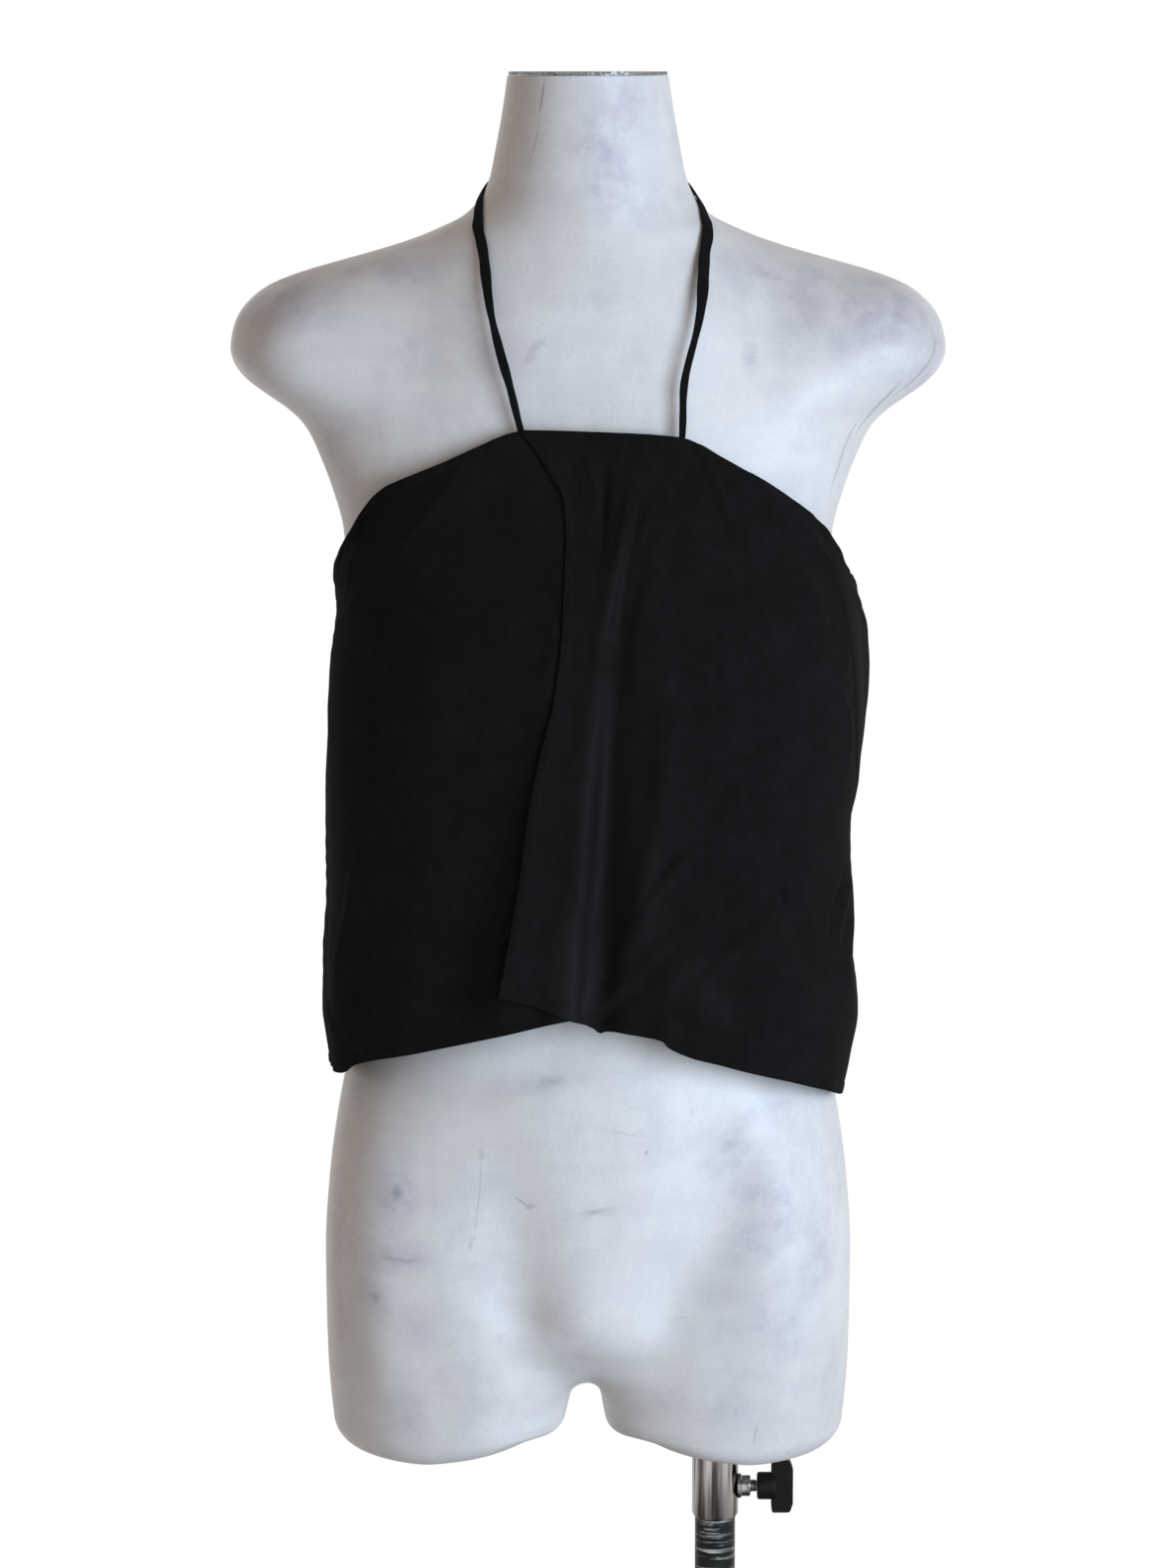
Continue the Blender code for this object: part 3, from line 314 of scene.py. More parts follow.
# ---- Fine folds and creases, millimetres ----
# Each row runs from its upper end to its lower end. left and right are its widths on the viewer's two sides.
CREASES = table(
    FOLD_LINE + " left right",
    # the ridge under the free edge, the sharp valley beside it, and the ridges to its right
    (-7, 570, 0.4, -9, 450, 1.6, -20.5, 290, 2.2, 8, 16),
    (13, 562, 0.3, 7, 524, 2.2, 3, 478, 1.5, 6, 4.5),
    (3, 478, 1.5, -0.8, 390, 4.2, -5, 276, 5, 14, 7),
    (28, 598, -0.6, 14, 556, -2.6, 8, 500, -1.8, 5, 4),
    (8, 500, -1.4, 5.2, 410, -2.2, 4.6, 272, -1.4, 7, 8),
    (25.5, 575, 0.4, 15, 520, 1.8, 11.4, 470, 0.8, 4, 7),
    (18.6, 450, 0.6, 16.2, 392, 3, 11.2, 332, 2.6, 6, 8),
    (11.2, 332, 2.6, 8.8, 314, 2.4, 6.6, 290, 1.2, 5, 7),
    (26.5, 450, -0.3, 26.6, 400, -1.6, 22, 330, -1, 6, 12),
    # small folds under the neckline
    (-15.4, 598, 0.5, -10, 581, 1.6, -6, 560, 0.8, 3, 3),
    (-9.5, 597, 0.2, -5, 585, -1.2, -3, 572, -0.3, 2.5, 2.5),
    (-1.5, 600, 0.3, 1, 584, 1, 2, 566, 0.3, 3, 3),
    (6.5, 592, -0.8, 4.6, 562, -3, 3.6, 534, -0.6, 6, 3),
    (14, 588, 0.4, 10.8, 561, 2, 7.4, 530, 0.4, 3, 5),
    (22, 597, 0.2, 19, 577, 0.9, 15.5, 556, 0.3, 4, 4),
    # pulled from the right strap towards the armhole and the side
    (33.8, 597, 1.6, 36.2, 574, 2.8, 40.6, 545, 0.4, 2.2, 4.5),
    (34.6, 582, -1, 48, 555, -3, 61.5, 514, -1, 5.5, 4.5),
    (45, 580, 1, 57, 553, 2.7, 64.5, 527, 2.4, 4.5, 2.4),
    (64.5, 527, 2.4, 67.2, 500, 2.6, 64.6, 470, 1.4, 5, 2.6),
    (49, 543, 1, 56, 514, 2.4, 55.6, 480, 0.6, 8, 5),
    (39.5, 592, 0.6, 46.5, 580, 1.4, 53, 566, 0.4, 3, 3),
    # the side under the right bust
    (61, 457, 1.4, 65, 437, 2, 66.5, 410, 0.6, 4.5, 3),
    (57, 426, 0.3, 49.6, 412, -1.8, 42, 400, -0.3, 4, 5),
    (71, 346, 0.2, 64.8, 333, -2.4, 61.8, 311, -0.4, 2.4, 2.4),
    (66.6, 344, 0.4, 62, 331, 1.9, 59.2, 313, 0.5, 3, 2.4),
    (74, 342, 0.5, 68.2, 327, 2.4, 65.4, 307, 0.7, 2.6, 4),
    (65, 308, 0.4, 70, 293, 2, 77, 275, 0.6, 6, 6),
    # the right panel's lower half
    (26.6, 372, 0.3, 19.8, 359, 3.4, 13.8, 333, 0.6, 3.6, 1.8),
    (25.2, 378, 0, 18, 364, -2.3, 11.8, 338, -0.3, 2.8, 2),
    (27, 325, -0.4, 15, 301, -3.2, 3.6, 276, -2.8, 2, 4.6),
    (25, 330, 0.4, 12.6, 306, 2.6, 1.8, 282, 2, 6, 2.4),
    (46.5, 337, 0.8, 35.5, 316, 4.2, 24, 287, 1.2, 4, 12),
    (42.6, 353, -0.5, 47.6, 342, -3.2, 44.6, 330, -0.6, 2.4, 2.8),
    (41.6, 346, 0.3, 45.2, 338, 2.8, 43, 330, 0.6, 3.2, 1.8),
    (48.6, 339, -1, 52, 318, -3.6, 57, 299, -0.8, 6, 7),
    (19.8, 302, 0.2, 18.9, 285, 1.6, 18, 262, 2.2, 2.8, 3.4),
    (25, 302, -0.4, 24.2, 284, -1.7, 23, 258, -2, 6, 7),
    (36, 268, 0.2, 38, 257, 1.2, 39.5, 244, 1.6, 7, 7),
    (54, 262, -0.2, 56, 246, -1.4, 57.5, 230, -1.8, 6, 6),
    # the left panel
    (-35.4, 592, 0.8, -46, 549, 1.3, -56.5, 521, 0.8, 2, 3.2),
    (-62, 558, 0.4, -64.4, 534, 1.1, -68.2, 507, 0.3, 2.6, 2.6),
    (-30, 596, 0.3, -37, 588, -0.8, -45, 577, -0.2, 3, 3),
    (-44, 586, 0.3, -50, 576, 0.8, -57, 562, 0.2, 3.4, 3.4),
    (-47.5, 424, 0.3, -55.5, 360, 1.6, -64.6, 297, 0.8, 4, 6),
    (-73.5, 276, 0.4, -69.5, 267, 1.5, -65, 257, 0.4, 3, 3),
    (-61.5, 264, 0.2, -57.5, 257, 1.4, -52, 248, 0.4, 3.6, 3.6),
    (-82, 268, 0.2, -80, 250, 1.6, -78, 232, 2, 5, 5),
    (-28, 470, 0.2, -31, 400, -1.2, -36, 320, -0.8, 12, 12),
    (-40, 330, 0.2, -43, 292, 1, -46, 252, 1.4, 9, 9),
    # the back: drawn down from the two armholes, and a few short kinks
    (76, 512, 0.6, 86, 496, 1.6, 98, 470, 0.3, 4, 4),
    (104, 494, 0.4, 114, 462, 1.4, 118, 420, 0.3, 5, 5),
    (133, 400, 0.2, 141, 382, 1.3, 146, 358, 0.2, 4, 3),
    (152, 330, 0.2, 158, 312, -1.4, 160, 286, -0.3, 4, 4),
    (171, 470, 0.3, 176, 430, 1.2, 177, 380, 0.2, 6, 6),
    (178, 300, 0.2, 190, 286, 1.4, 199, 262, 0.3, 4, 3),
    (214, 476, 0.3, 209, 444, 1.3, 200, 408, 0.2, 5, 4),
    (238, 420, 0.2, 230, 398, 1.4, 226, 366, 0.2, 3.4, 4.4),
    (284, 538, 0.4, 272, 510, 1.6, 256, 478, 0.3, 4.4, 4.4),
    (262, 330, 0.2, 256, 300, 1.4, 254, 262, 0.6, 5, 4),
    (112, 262, 0.2, 117, 240, 1.4, 119, 214, 1.6, 5, 5),
    (139, 250, 0.2, 138, 232, -1.2, 137, 212, -1.4, 5, 5),
)

# A dart is a stitched groove with the cloth standing a little proud on both sides.
DARTS = table(
    "angle1 height1 angle2 height2 angle3 height3",
    (56.6, 514, 60, 494, 64, 468),
    (-55.6, 523, -64, 502, -77, 484),
)
DART_DEPTH = 0.8
DART_WIDTH = 1.0
DART_PUFF = 0.55
DART_PUFF_WIDTH = 4.0
DART_FADE = 5.0  # the groove fades at both ends, over the length divided by this
DART_PUFF_FADE = 3.0  # and the puff at its upper end
# The cloth is nowhere quite even: the size of its soft waves, their rise, and where their pattern starts.
UNEVEN = ((48.0, 1.1, 0.0), (17.0, 0.30, 700.0))

# ---- Cloth, millimetres ----
WALL = 0.5  # single cloth
HEM_WALL = 1.3  # cloth folded twice
HEM_WIDTH = 5.0
HEM_GROOVE = 0.28  # depth of the stitched line
HEM_GROOVE_WIDTH = 0.6
SEAM_DIP = 0.9  # the side seams lie a little deeper
SEAM_DIP_WIDTH = 1.7
NEAR_EDGE = (0.0, 0.5, 1.4, 2.7, 3.8, 4.5, 5.0, 5.5, 6.6, 8.2)  # grid lines beside each edge
STITCH_LINE = NEAR_EDGE.index(HEM_WIDTH)
GRID_STEP = 2.0
PUCKER = 0.32  # small waves along a stitched edge
PUCKER_REACH = 8.0
PUCKER_LENGTH = 1.9
PUCKER_DRIFT = (1.7, 11.0)  # how far the waves drift along the edge, and over what length
PUCKER_FADE = (0.4, 23.0)  # how much they come and go, and over what length
FREE_EDGE_LIFT = 1.0  # the wrapped panel's edge stands off a little below
FREE_EDGE_REST = -0.6  # and lies close above
FREE_EDGE_FADE = (370.0, 500.0)  # between these heights it changes
FREE_EDGE_WIDTH = 11.0
CORNER_LIFT = 3.6  # and its lower corner more
CORNER_WIDTH = 22.0
CORNER_REACH = 60.0

STITCH_PITCH = 2.7
STITCH_LENGTH = 1.9
STITCH_RADIUS = 0.20
STITCH_SIDES = 6
STITCH_RINGS = ((-0.42, 0.75), (0.0, 1.0), (0.42, 0.75))  # place along it, and share of its radius
STITCH_SINK = 0.8  # its two ends go in by this share of its radius


# ---- Curves through the tables ----

def smooth_curve(known_x, known_y, x):
    """A curve through the known points that never overshoots them (Fritsch and Carlson's slopes)."""
    known_x, known_y = np.asarray(known_x, float), np.asarray(known_y, float)
    order = np.argsort(known_x)
    known_x, known_y = known_x[order], known_y[order]
    step = np.diff(known_x)
    slope = np.diff(known_y) / step
    tangent = np.zeros(len(known_x))
    tangent[0], tangent[-1] = slope[0], slope[-1]
    same_way = slope[:-1] * slope[1:] > 0
    before, after = 2 * step[1:] + step[:-1], step[1:] + 2 * step[:-1]
    safe_low = np.where(same_way, slope[:-1], 1.0)
    safe_high = np.where(same_way, slope[1:], 1.0)
    mean = (before + after) / (before / safe_low + after / safe_high)
    tangent[1:-1] = np.where(same_way, mean, 0.0)
    x = np.clip(np.asarray(x, float), known_x[0], known_x[-1])
    place = np.clip(np.searchsorted(known_x, x, side="right") - 1, 0, len(step) - 1)
    t = (x - known_x[place]) / step[place]
    rise = step[place]
    return ((2 * t**3 - 3 * t**2 + 1) * known_y[place] + (t**3 - 2 * t**2 + t) * rise * tangent[place]
            + (3 * t**2 - 2 * t**3) * known_y[place + 1] + (t**3 - t**2) * rise * tangent[place + 1])


def column(rows, name):
    return [getattr(row, name) for row in rows]


def read_columns(rows, key, names, at):
    """Smooth curves through the named columns, read at places along the key column."""
    return [smooth_curve(column(rows, key), column(rows, name), at) for name in names.split()]


def read_column(rows, key, name, at):
    return read_columns(rows, key, name, at)[0]


def smooth_step(t):
    t = np.clip(t, 0.0, 1.0)
    return t * t * (3.0 - 2.0 * t)


def turn_between(angle, centre):
    """The turn from centre to angle, in degrees from -180 to 180."""
    return (np.asarray(angle) - centre + 180.0) % 360.0 - 180.0


def unit(vectors):
    return vectors / np.linalg.norm(vectors, axis=-1, keepdims=True)


def run_length(points):
    """The length along a line of points, from its start to each of them."""
    return np.concatenate([[0.0], np.cumsum(np.linalg.norm(np.diff(points, axis=0), axis=1))])


# ---- The form's surface ----

def ring_radius(angle, half_width, front, back, squareness):
    """Radius of a rounded, oblong ring in the direction of an angle."""
    turn = np.radians(angle)
    depth = np.where(np.cos(turn) > 0.0, front, back)
    across = np.abs(np.sin(turn) / half_width) ** squareness
    through = np.abs(np.cos(turn) / depth) ** squareness
    return (across + through) ** (-1.0 / squareness)


def form_radius(angle, height):
    parts = read_columns(FORM_RINGS, "height", "half_width front back squareness", height)
    radius = ring_radius(angle, *parts)
    for bump in FORM_BUMPS:
        for side in (1.0, -1.0):
            sideways = np.radians(turn_between(angle, side * bump.angle)) * MEAN_RADIUS / bump.across
            upwards = (height - bump.height) / bump.along
            radius = radius + bump.rise * np.exp(-sideways**2 - upwards**2)
    return radius


def polar_point(angle, radius, height):
    turn = np.radians(angle)
    return np.stack([radius * np.sin(turn), -radius * np.cos(turn), height + 0.0 * radius], axis=-1)


def angle_of(points):
    return np.degrees(np.arctan2(points[:, 0], -points[:, 1]))


def form_point(angle, height):
    return polar_point(angle, form_radius(angle, height), height)


def form_normal(angle, height):
    """Outward direction of the form's surface."""
    round_step = form_point(angle + NORMAL_REACH, height) - form_point(angle - NORMAL_REACH, height)
    rise_step = form_point(angle, height + NORMAL_REACH) - form_point(angle, height - NORMAL_REACH)
    return unit(np.cross(round_step, rise_step))


# ---- The cloth's surface ----

def line_distance(angle, height, row):
    """Distance to a row's curve, place along it from 0 to 1, and whether a point is on the viewer's right."""
    start, middle, end = (np.array([getattr(row, name + n) for name in ("angle", "height")]) for n in "123")
    control = 2.0 * middle - 0.5 * (start + end)
    along = np.linspace(0.0, 1.0, FOLD_STEPS + 1)
    line = (np.outer((1 - along)**2, start) + np.outer(2 * along * (1 - along), control)
            + np.outer(along**2, end))
    place_x = np.radians(turn_between(angle, row.angle2)) * MEAN_RADIUS
    line_x = np.radians(line[:, 0] - row.angle2) * MEAN_RADIUS
    nearest = np.full(place_x.shape, np.inf)
    nearest_t = np.zeros(place_x.shape)
    on_right = np.zeros(place_x.shape, bool)
    for k in range(FOLD_STEPS):
        run_x, run_y = line_x[k + 1] - line_x[k], line[k + 1, 1] - line[k, 1]
        off_x, off_y = place_x - line_x[k], height - line[k, 1]
        t = np.clip((off_x * run_x + off_y * run_y) / (run_x**2 + run_y**2), 0.0, 1.0)
        distance = np.hypot(off_x - t * run_x, off_y - t * run_y)
        closer = distance < nearest
        nearest = np.where(closer, distance, nearest)
        nearest_t = np.where(closer, (k + t) / FOLD_STEPS, nearest_t)
        on_right = np.where(closer, run_x * off_y - run_y * off_x > 0.0, on_right)
    return nearest, nearest_t, on_right


def fold_rise(angle, height, folds):
    """How far a table of folds or creases lifts the cloth."""
    total = np.zeros(np.broadcast(angle, height).shape)
    for fold in folds:
        distance, along, on_right = line_distance(angle, height, fold)
        rise = smooth_curve([0.0, 0.5, 1.0], [fold.rise1, fold.rise2, fold.rise3], along)
        width = fold.width if hasattr(fold, "width") else np.where(on_right, fold.right, fold.left)
        total += rise * np.exp(-(distance / width)**2)
    return total


def dart_rise(angle, height):
    total = np.zeros(angle.shape)
    for dart in DARTS:
        distance, along, _ = line_distance(angle, height, dart)
        fade = smooth_step(np.minimum(along, 1.0 - along) * DART_FADE)
        total += DART_PUFF * np.exp(-(distance / DART_PUFF_WIDTH)**2) * smooth_step(along * DART_PUFF_FADE)
        total -= DART_DEPTH * fade * np.exp(-(distance / DART_WIDTH)**2)
    return total


def unevenness(angle, height, scale, rise, start):
    """Soft irregular waves of about the given scale."""
    points = polar_point(angle, 0.0 * angle + MEAN_RADIUS, height) + start
    values = [noise.noise(Vector(point)) for point in (points.reshape(-1, 3) / scale).tolist()]
    return rise * np.array(values).reshape(angle.shape)


def cloth_radius(angle, height, lift=0.0, fine=False):
    """Radius of the middle of the cloth: its draped ring and its folds, and never inside the form."""
    left, right, *others = read_columns(CLOTH_RINGS, "height", "left right front back squareness", height)
    half_width = np.where(np.sin(np.radians(angle)) > 0.0, right, left)
    draped = ring_radius(angle, half_width, *others) + fold_rise(angle, height, FOLDS)
    if fine:
        draped = draped + fold_rise(angle, height, CREASES) + dart_rise(angle, height)
        for waves in UNEVEN:
            draped = draped + unevenness(angle, height, *waves)
    floor = form_radius(angle, height) + CLOTH_CLEARANCE
    return 0.5 * (draped + floor + np.sqrt((draped - floor)**2 + CLOTH_SOFTNESS**2)) + lift


def over_lift(angle, height):
    """The wrapped panel rides over the panel under it, and comes down beyond that panel's edge."""
    edge = read_column(UNDER_EDGE, "height", "angle", height)
    return OVERLAP_LIFT * smooth_step((edge + OVERLAP_RAMP - angle) / OVERLAP_RAMP)


def wrapped_lift(angle, height, distances):
    """The wrapped panel over the one under it, with its free edge and lower corner standing off a little."""
    above = smooth_step((height - FREE_EDGE_FADE[0]) / (FREE_EDGE_FADE[1] - FREE_EDGE_FADE[0]))
    edge = np.exp(-(distances["left"] / FREE_EDGE_WIDTH)**2) * (
        FREE_EDGE_LIFT + (FREE_EDGE_REST - FREE_EDGE_LIFT) * above)
    corner = np.exp(-(distances["left"] / CORNER_WIDTH)**2) * np.exp(-distances["bottom"] / CORNER_REACH)
    return over_lift(angle, height) + edge + CORNER_LIFT * corner


def grid_lines(length):
    """Each grid line's place, as a fixed length plus a share of the whole: closer together near both ends."""
    near = np.array(NEAR_EDGE)
    share = np.linspace(0.0, 1.0, round(length / GRID_STEP) + 1)[1:-1]
    fixed = np.concatenate([near, near[-1] * (1.0 - 2.0 * share), -near[::-1]])
    return fixed, np.concatenate([0.0 * near, share, 0.0 * near + 1.0])


def fine_grid(panel):
    """Angles and heights of a panel's points, and each point's distances from its four edges."""
    across_fixed, across_share = grid_lines(panel.across)
    up_fixed, up_share = (lines[:, None] for lines in grid_lines(panel.upwards))
    gap = np.degrees(SEAM_GAP / 2 / MEAN_RADIUS)
    height = np.full((len(up_fixed), len(across_fixed)), MID_HEIGHT)
    for _ in range(GRID_SETTLING):
        start = read_column(panel.left, "height", "angle", height) + gap * ("left" in panel.seams)
        end = (read_column(panel.right, "height", "angle", height) + panel.turn
               - gap * ("right" in panel.seams))
        width = np.radians(end - start) * MEAN_RADIUS
        across = across_fixed + across_share * width
        angle = start + np.degrees(across / MEAN_RADIUS)
        low = read_column(panel.bottom, "angle", "height", angle)
        high = read_column(panel.top, "angle", "height", angle)
        upwards = up_fixed + up_share * (high - low)
        height = low + upwards
    distances = {"left": across, "right": width - across, "bottom": upwards, "top": high - low - upwards}
    return angle, height, distances


def edge_relief(angle, height, distances, seams):
    """Hem grooves, seam dips and the small waves along stitched edges."""
    relief = np.zeros(angle.shape)
    for side, distance in distances.items():
        if side in seams:
            relief -= SEAM_DIP * np.exp(-(distance / SEAM_DIP_WIDTH)**2)
        else:
            relief -= HEM_GROOVE * np.exp(-((distance - HEM_WIDTH) / HEM_GROOVE_WIDTH)**2)
        along = height if side in ("left", "right") else np.radians(angle) * MEAN_RADIUS
        drift, fade = (share * np.sin(along / length) for share, length in (PUCKER_DRIFT, PUCKER_FADE))
        wave = np.sin(along / PUCKER_LENGTH + drift) * (1.0 - PUCKER_FADE[0] + fade)
        relief += PUCKER * wave * np.exp(-distance / PUCKER_REACH)
    return relief


def wall_thickness(distances, seams):
    wall = np.full(distances["left"].shape, WALL)
    for side, distance in distances.items():
        if side not in seams:
            wall = np.where(distance <= HEM_WIDTH, HEM_WALL, wall)
    return wall


# ---- Blender helpers ----

def add_mesh(name, bm, material):
    """A new object from a finished mesh, in one material."""
    mesh = bpy.data.meshes.new(name)
    bm.to_mesh(mesh)
    bm.free()
    mesh.materials.append(material)
    return link(bpy.data.objects.new(name, mesh))


def add_piece(name, bm, material, body, node=None, location=(0, 0, 0)):
    """A smooth-shaded piece in the given material, which rides on a body and stands for a node that it hides.
    """
    piece = add_mesh(name, bm, material)
    piece.data.shade_smooth()
    piece.location = location
    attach(piece, body)
    if node:
        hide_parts(node)
    return piece


def add_vertices(bm, points):
    """Vertices at points that are given in millimetres."""
    return [bm.verts.new(point) for point in (np.asarray(points) * MM).tolist()]


def add_band(bm, near, far):
    """Faces from one closed ring of vertices to the next. A ring of one vertex closes an end."""
    for k in range(max(len(near), len(far))):
        corners = (near[(k - 1) % len(near)], near[k % len(near)], far[k % len(far)], far[(k - 1) % len(far)])
        bm.faces.new(list(dict.fromkeys(corners)))


def add_woven_faces(bm, verts, thread_x, thread_y):
    """Faces through rows of vertices, with the places along both threads as a UV map."""
    threads = bm.loops.layers.uv.new("threads")
    for j in range(len(verts) - 1):
        for k in range(len(verts[0]) - 1):
            corners = ((j, k), (j, k + 1), (j + 1, k + 1), (j + 1, k))
            face = bm.faces.new([verts[a][b] for a, b in corners])
            for loop, corner in zip(face.loops, corners):
                loop[threads].uv = (thread_x[corner] * MM, thread_y[corner] * MM)


# ---- Garment ----
Stitch = namedtuple("Stitch", "centre forward outward")
stitches = []


def add_stitches(points, normals):
    """Stitches along a line of points, on the cloth's outer face."""
    length = run_length(points)

    def at(place, values):
        return np.array([np.interp(place, length, values[:, k]) for k in range(3)])

    for place in np.arange(STITCH_PITCH / 2, length[-1], STITCH_PITCH):
        outward = unit(at(place, normals))
        forward = unit(at(place + 1.0, points) - at(place - 1.0, points))
        stitches.append(Stitch(at(place, points) + outward * WALL / 2, forward, outward))


def make_panel(panel, material):
    """One cloth panel: a thin shell through its grid, thicker in its hems."""
    angle, height, distances = fine_grid(panel)
    lift = wrapped_lift(angle, height, distances) if panel.wraps_over else 0.0
    radius = cloth_radius(angle, height, lift, fine=True) + edge_relief(angle, height, distances, panel.seams)
    points = polar_point(angle, radius, height)
    normals = unit(np.cross(np.gradient(points, axis=1), np.gradient(points, axis=0)))
    whole = slice(None)
    for side, line in (("bottom", (STITCH_LINE, whole)), ("top", (-1 - STITCH_LINE, whole)),
                       ("left", (whole, STITCH_LINE)), ("right", (whole, -1 - STITCH_LINE))):
        if side not in panel.seams:
            add_stitches(points[line], normals[line])

    bm = bmesh.new()
    add_woven_faces(bm, [add_vertices(bm, row) for row in points], np.radians(angle) * MEAN_RADIUS, height)
    piece = add_piece(panel.name, bm, material, "form", panel.node, FORM_PLACE)
    wall = wall_thickness(distances, panel.seams)
    group = piece.vertex_groups.new(name="wall")
    for thickness in np.unique(wall):
        group.add(np.flatnonzero(wall.ravel() == thickness).tolist(), float(thickness / HEM_WALL), "REPLACE")
    shell = piece.modifiers.new("Cloth wall", "SOLIDIFY")
    shell.thickness = HEM_WALL * MM
    shell.offset = 0.0
    shell.vertex_group = group.name
    return piece


def make_stitches(material):
    """All the visible hem stitches, as small spindles in one mesh."""
    bm = bmesh.new()
    turns = np.arange(STITCH_SIDES)[:, None] * 2 * math.pi / STITCH_SIDES
    for stitch in stitches:
        sideways = np.cross(stitch.outward, stitch.forward)
        across = (np.cos(turns) * sideways + np.sin(turns) * stitch.outward) * STITCH_RADIUS
        ends = [add_vertices(bm, [stitch.centre + stitch.forward * place * STITCH_LENGTH
                                  - stitch.outward * STITCH_RADIUS * STITCH_SINK]) for place in (-0.5, 0.5)]
        rings = [add_vertices(bm, stitch.centre + stitch.forward * place * STITCH_LENGTH + across * girth)
                 for place, girth in STITCH_RINGS]
        rings = [ends[0], *rings, ends[1]]
        for near, far in zip(rings, rings[1:]):
            add_band(bm, near, far)
    return add_piece("hem_stitches", bm, material, "form", location=FORM_PLACE)


def off_the_form(points):
    """Moves points that have come too close to the form back out to its surface."""
    least = form_radius(angle_of(points), points[:, 2]) + STRAP_CLEARANCE
    out = np.maximum(1.0, least / np.hypot(points[:, 0], points[:, 1]))
    return points * np.stack([out, out, np.ones(len(points))], axis=-1)


def strap_line():
    """Middle line of the strap and its outward direction, from one neckline end to the other."""
    known = np.linspace(0.0, 1.0, len(STRAP_POINTS))
    along = np.linspace(0.0, 1.0, STRAP_RINGS + 1)
    angle, height, stand_off = (smooth_curve(known, column(STRAP_POINTS, name), along)
                                for name in ("angle", "height", "stand_off"))
    middle = form_point(angle, height) + form_normal(angle, height) * stand_off[:, None]
    for end, on_wrapped_panel in ((0, False), (-1, True)):
        end_angle = turn_between(angle[end], 0.0)
        top = float(read_column(FRONT_TOP, "angle", "height", end_angle))
        lift = over_lift(end_angle, top) if on_wrapped_panel else 0.0
        seat = polar_point(end_angle, cloth_radius(end_angle, top, lift) - STRAP_TUCK_DEPTH, top)
        weight = smooth_step(1.0 - np.abs(along - along[end]) / STRAP_SEAT_SHARE)
        middle = middle + weight[:, None] * (seat - middle[end])
    for _ in range(STRAP_TAUTNESS):
        middle[1:-1] = 0.5 * middle[1:-1] + 0.25 * (middle[:-2] + middle[2:])
        middle = off_the_form(middle)
    return along, middle, form_normal(angle_of(middle), middle[:, 2])


def make_strap(material):
    along, middle, normal = strap_line()
    # the ends go on down behind the neckline
    down = np.linspace(STRAP_TUCK, 0.0, STRAP_TUCK_RINGS + 1)[:-1, None] * np.array([0.0, 0.0, -1.0])
    middle = np.concatenate([middle[0] + down, middle, middle[-1] + down[::-1]])
    normal = np.pad(normal, ((STRAP_TUCK_RINGS, STRAP_TUCK_RINGS), (0, 0)), "edge")
    half_width = np.pad(read_column(STRAP_WIDTHS, "place", "width", along), STRAP_TUCK_RINGS, "edge") / 2
    run = run_length(middle)
    half_width = half_width * (1.0 + sum(share * np.sin(run / length) for share, length in STRAP_WAVES))
    forward = np.gradient(middle, axis=0)
    sideways = unit(np.cross(forward, normal))
    outward = unit(np.cross(sideways, forward))

    turns = np.linspace(0.0, 2 * math.pi, STRAP_SIDES, endpoint=False)
    across, out = (np.sign(wave) * np.abs(wave)**flatness
                   for wave, flatness in zip((np.cos(turns), np.sin(turns)), STRAP_FLATNESS))
    bm = bmesh.new()
    rings = [add_vertices(bm, middle[k] + np.outer(across * half_width[k], sideways[k])
                          + np.outer(out * STRAP_THICKNESS / 2, outward[k])) for k in range(len(middle))]
    thread_y, thread_x = np.meshgrid(run, np.arange(STRAP_SIDES + 1), indexing="ij")
    add_woven_faces(bm, [ring + ring[:1] for ring in rings], thread_x, thread_y)
    bm.faces.new(rings[0])
    bm.faces.new(rings[-1][::-1])
    bmesh.ops.recalc_face_normals(bm, faces=bm.faces)
    return add_piece("neck_strap_cloth", bm, material, "form", "neck_strap", FORM_PLACE)


# ---- The dress form ----
HALF_COLUMNS = 44  # round each half
RING_STEP = 9.0
NECK_RING_STEP = 4.5  # between the same rings at the foot of the neck
# Rings that blend the hips into the thighs: height, and share of the thighs' shape.
BLEND_RINGS = ((68.0, 0.1575), (62.0, 0.35), (55.0, 0.665))
THIGH_HEIGHTS = (46.5, 43.0, 38.0, 32.0, 26.0, 20.0, 17.0)
ROUNDING_TURNS = (12, 24, 36, 48, 60, 72, 84, 90)
FORK_COLUMNS = 16
# Where the thighs meet, it is smoothed: half width, lowest, highest, and how many rounds.
FORK_SMOOTHING = [(78, 26, 92, 4), (58, 26, 84, 5), (38, 26, 76, 5)]
BORE_RADIUS = 13.2
BORE_DEPTH = 450.0
BORE_X = -FORM_X / MM  # the pole's axis seen from the form's own axis
BORE_EDGE = 0.5  # a sharp edge lies this close to the bore
LEVEL = 0.01  # heights that differ less are the same
MERGED = 0.02  # points closer than this are one

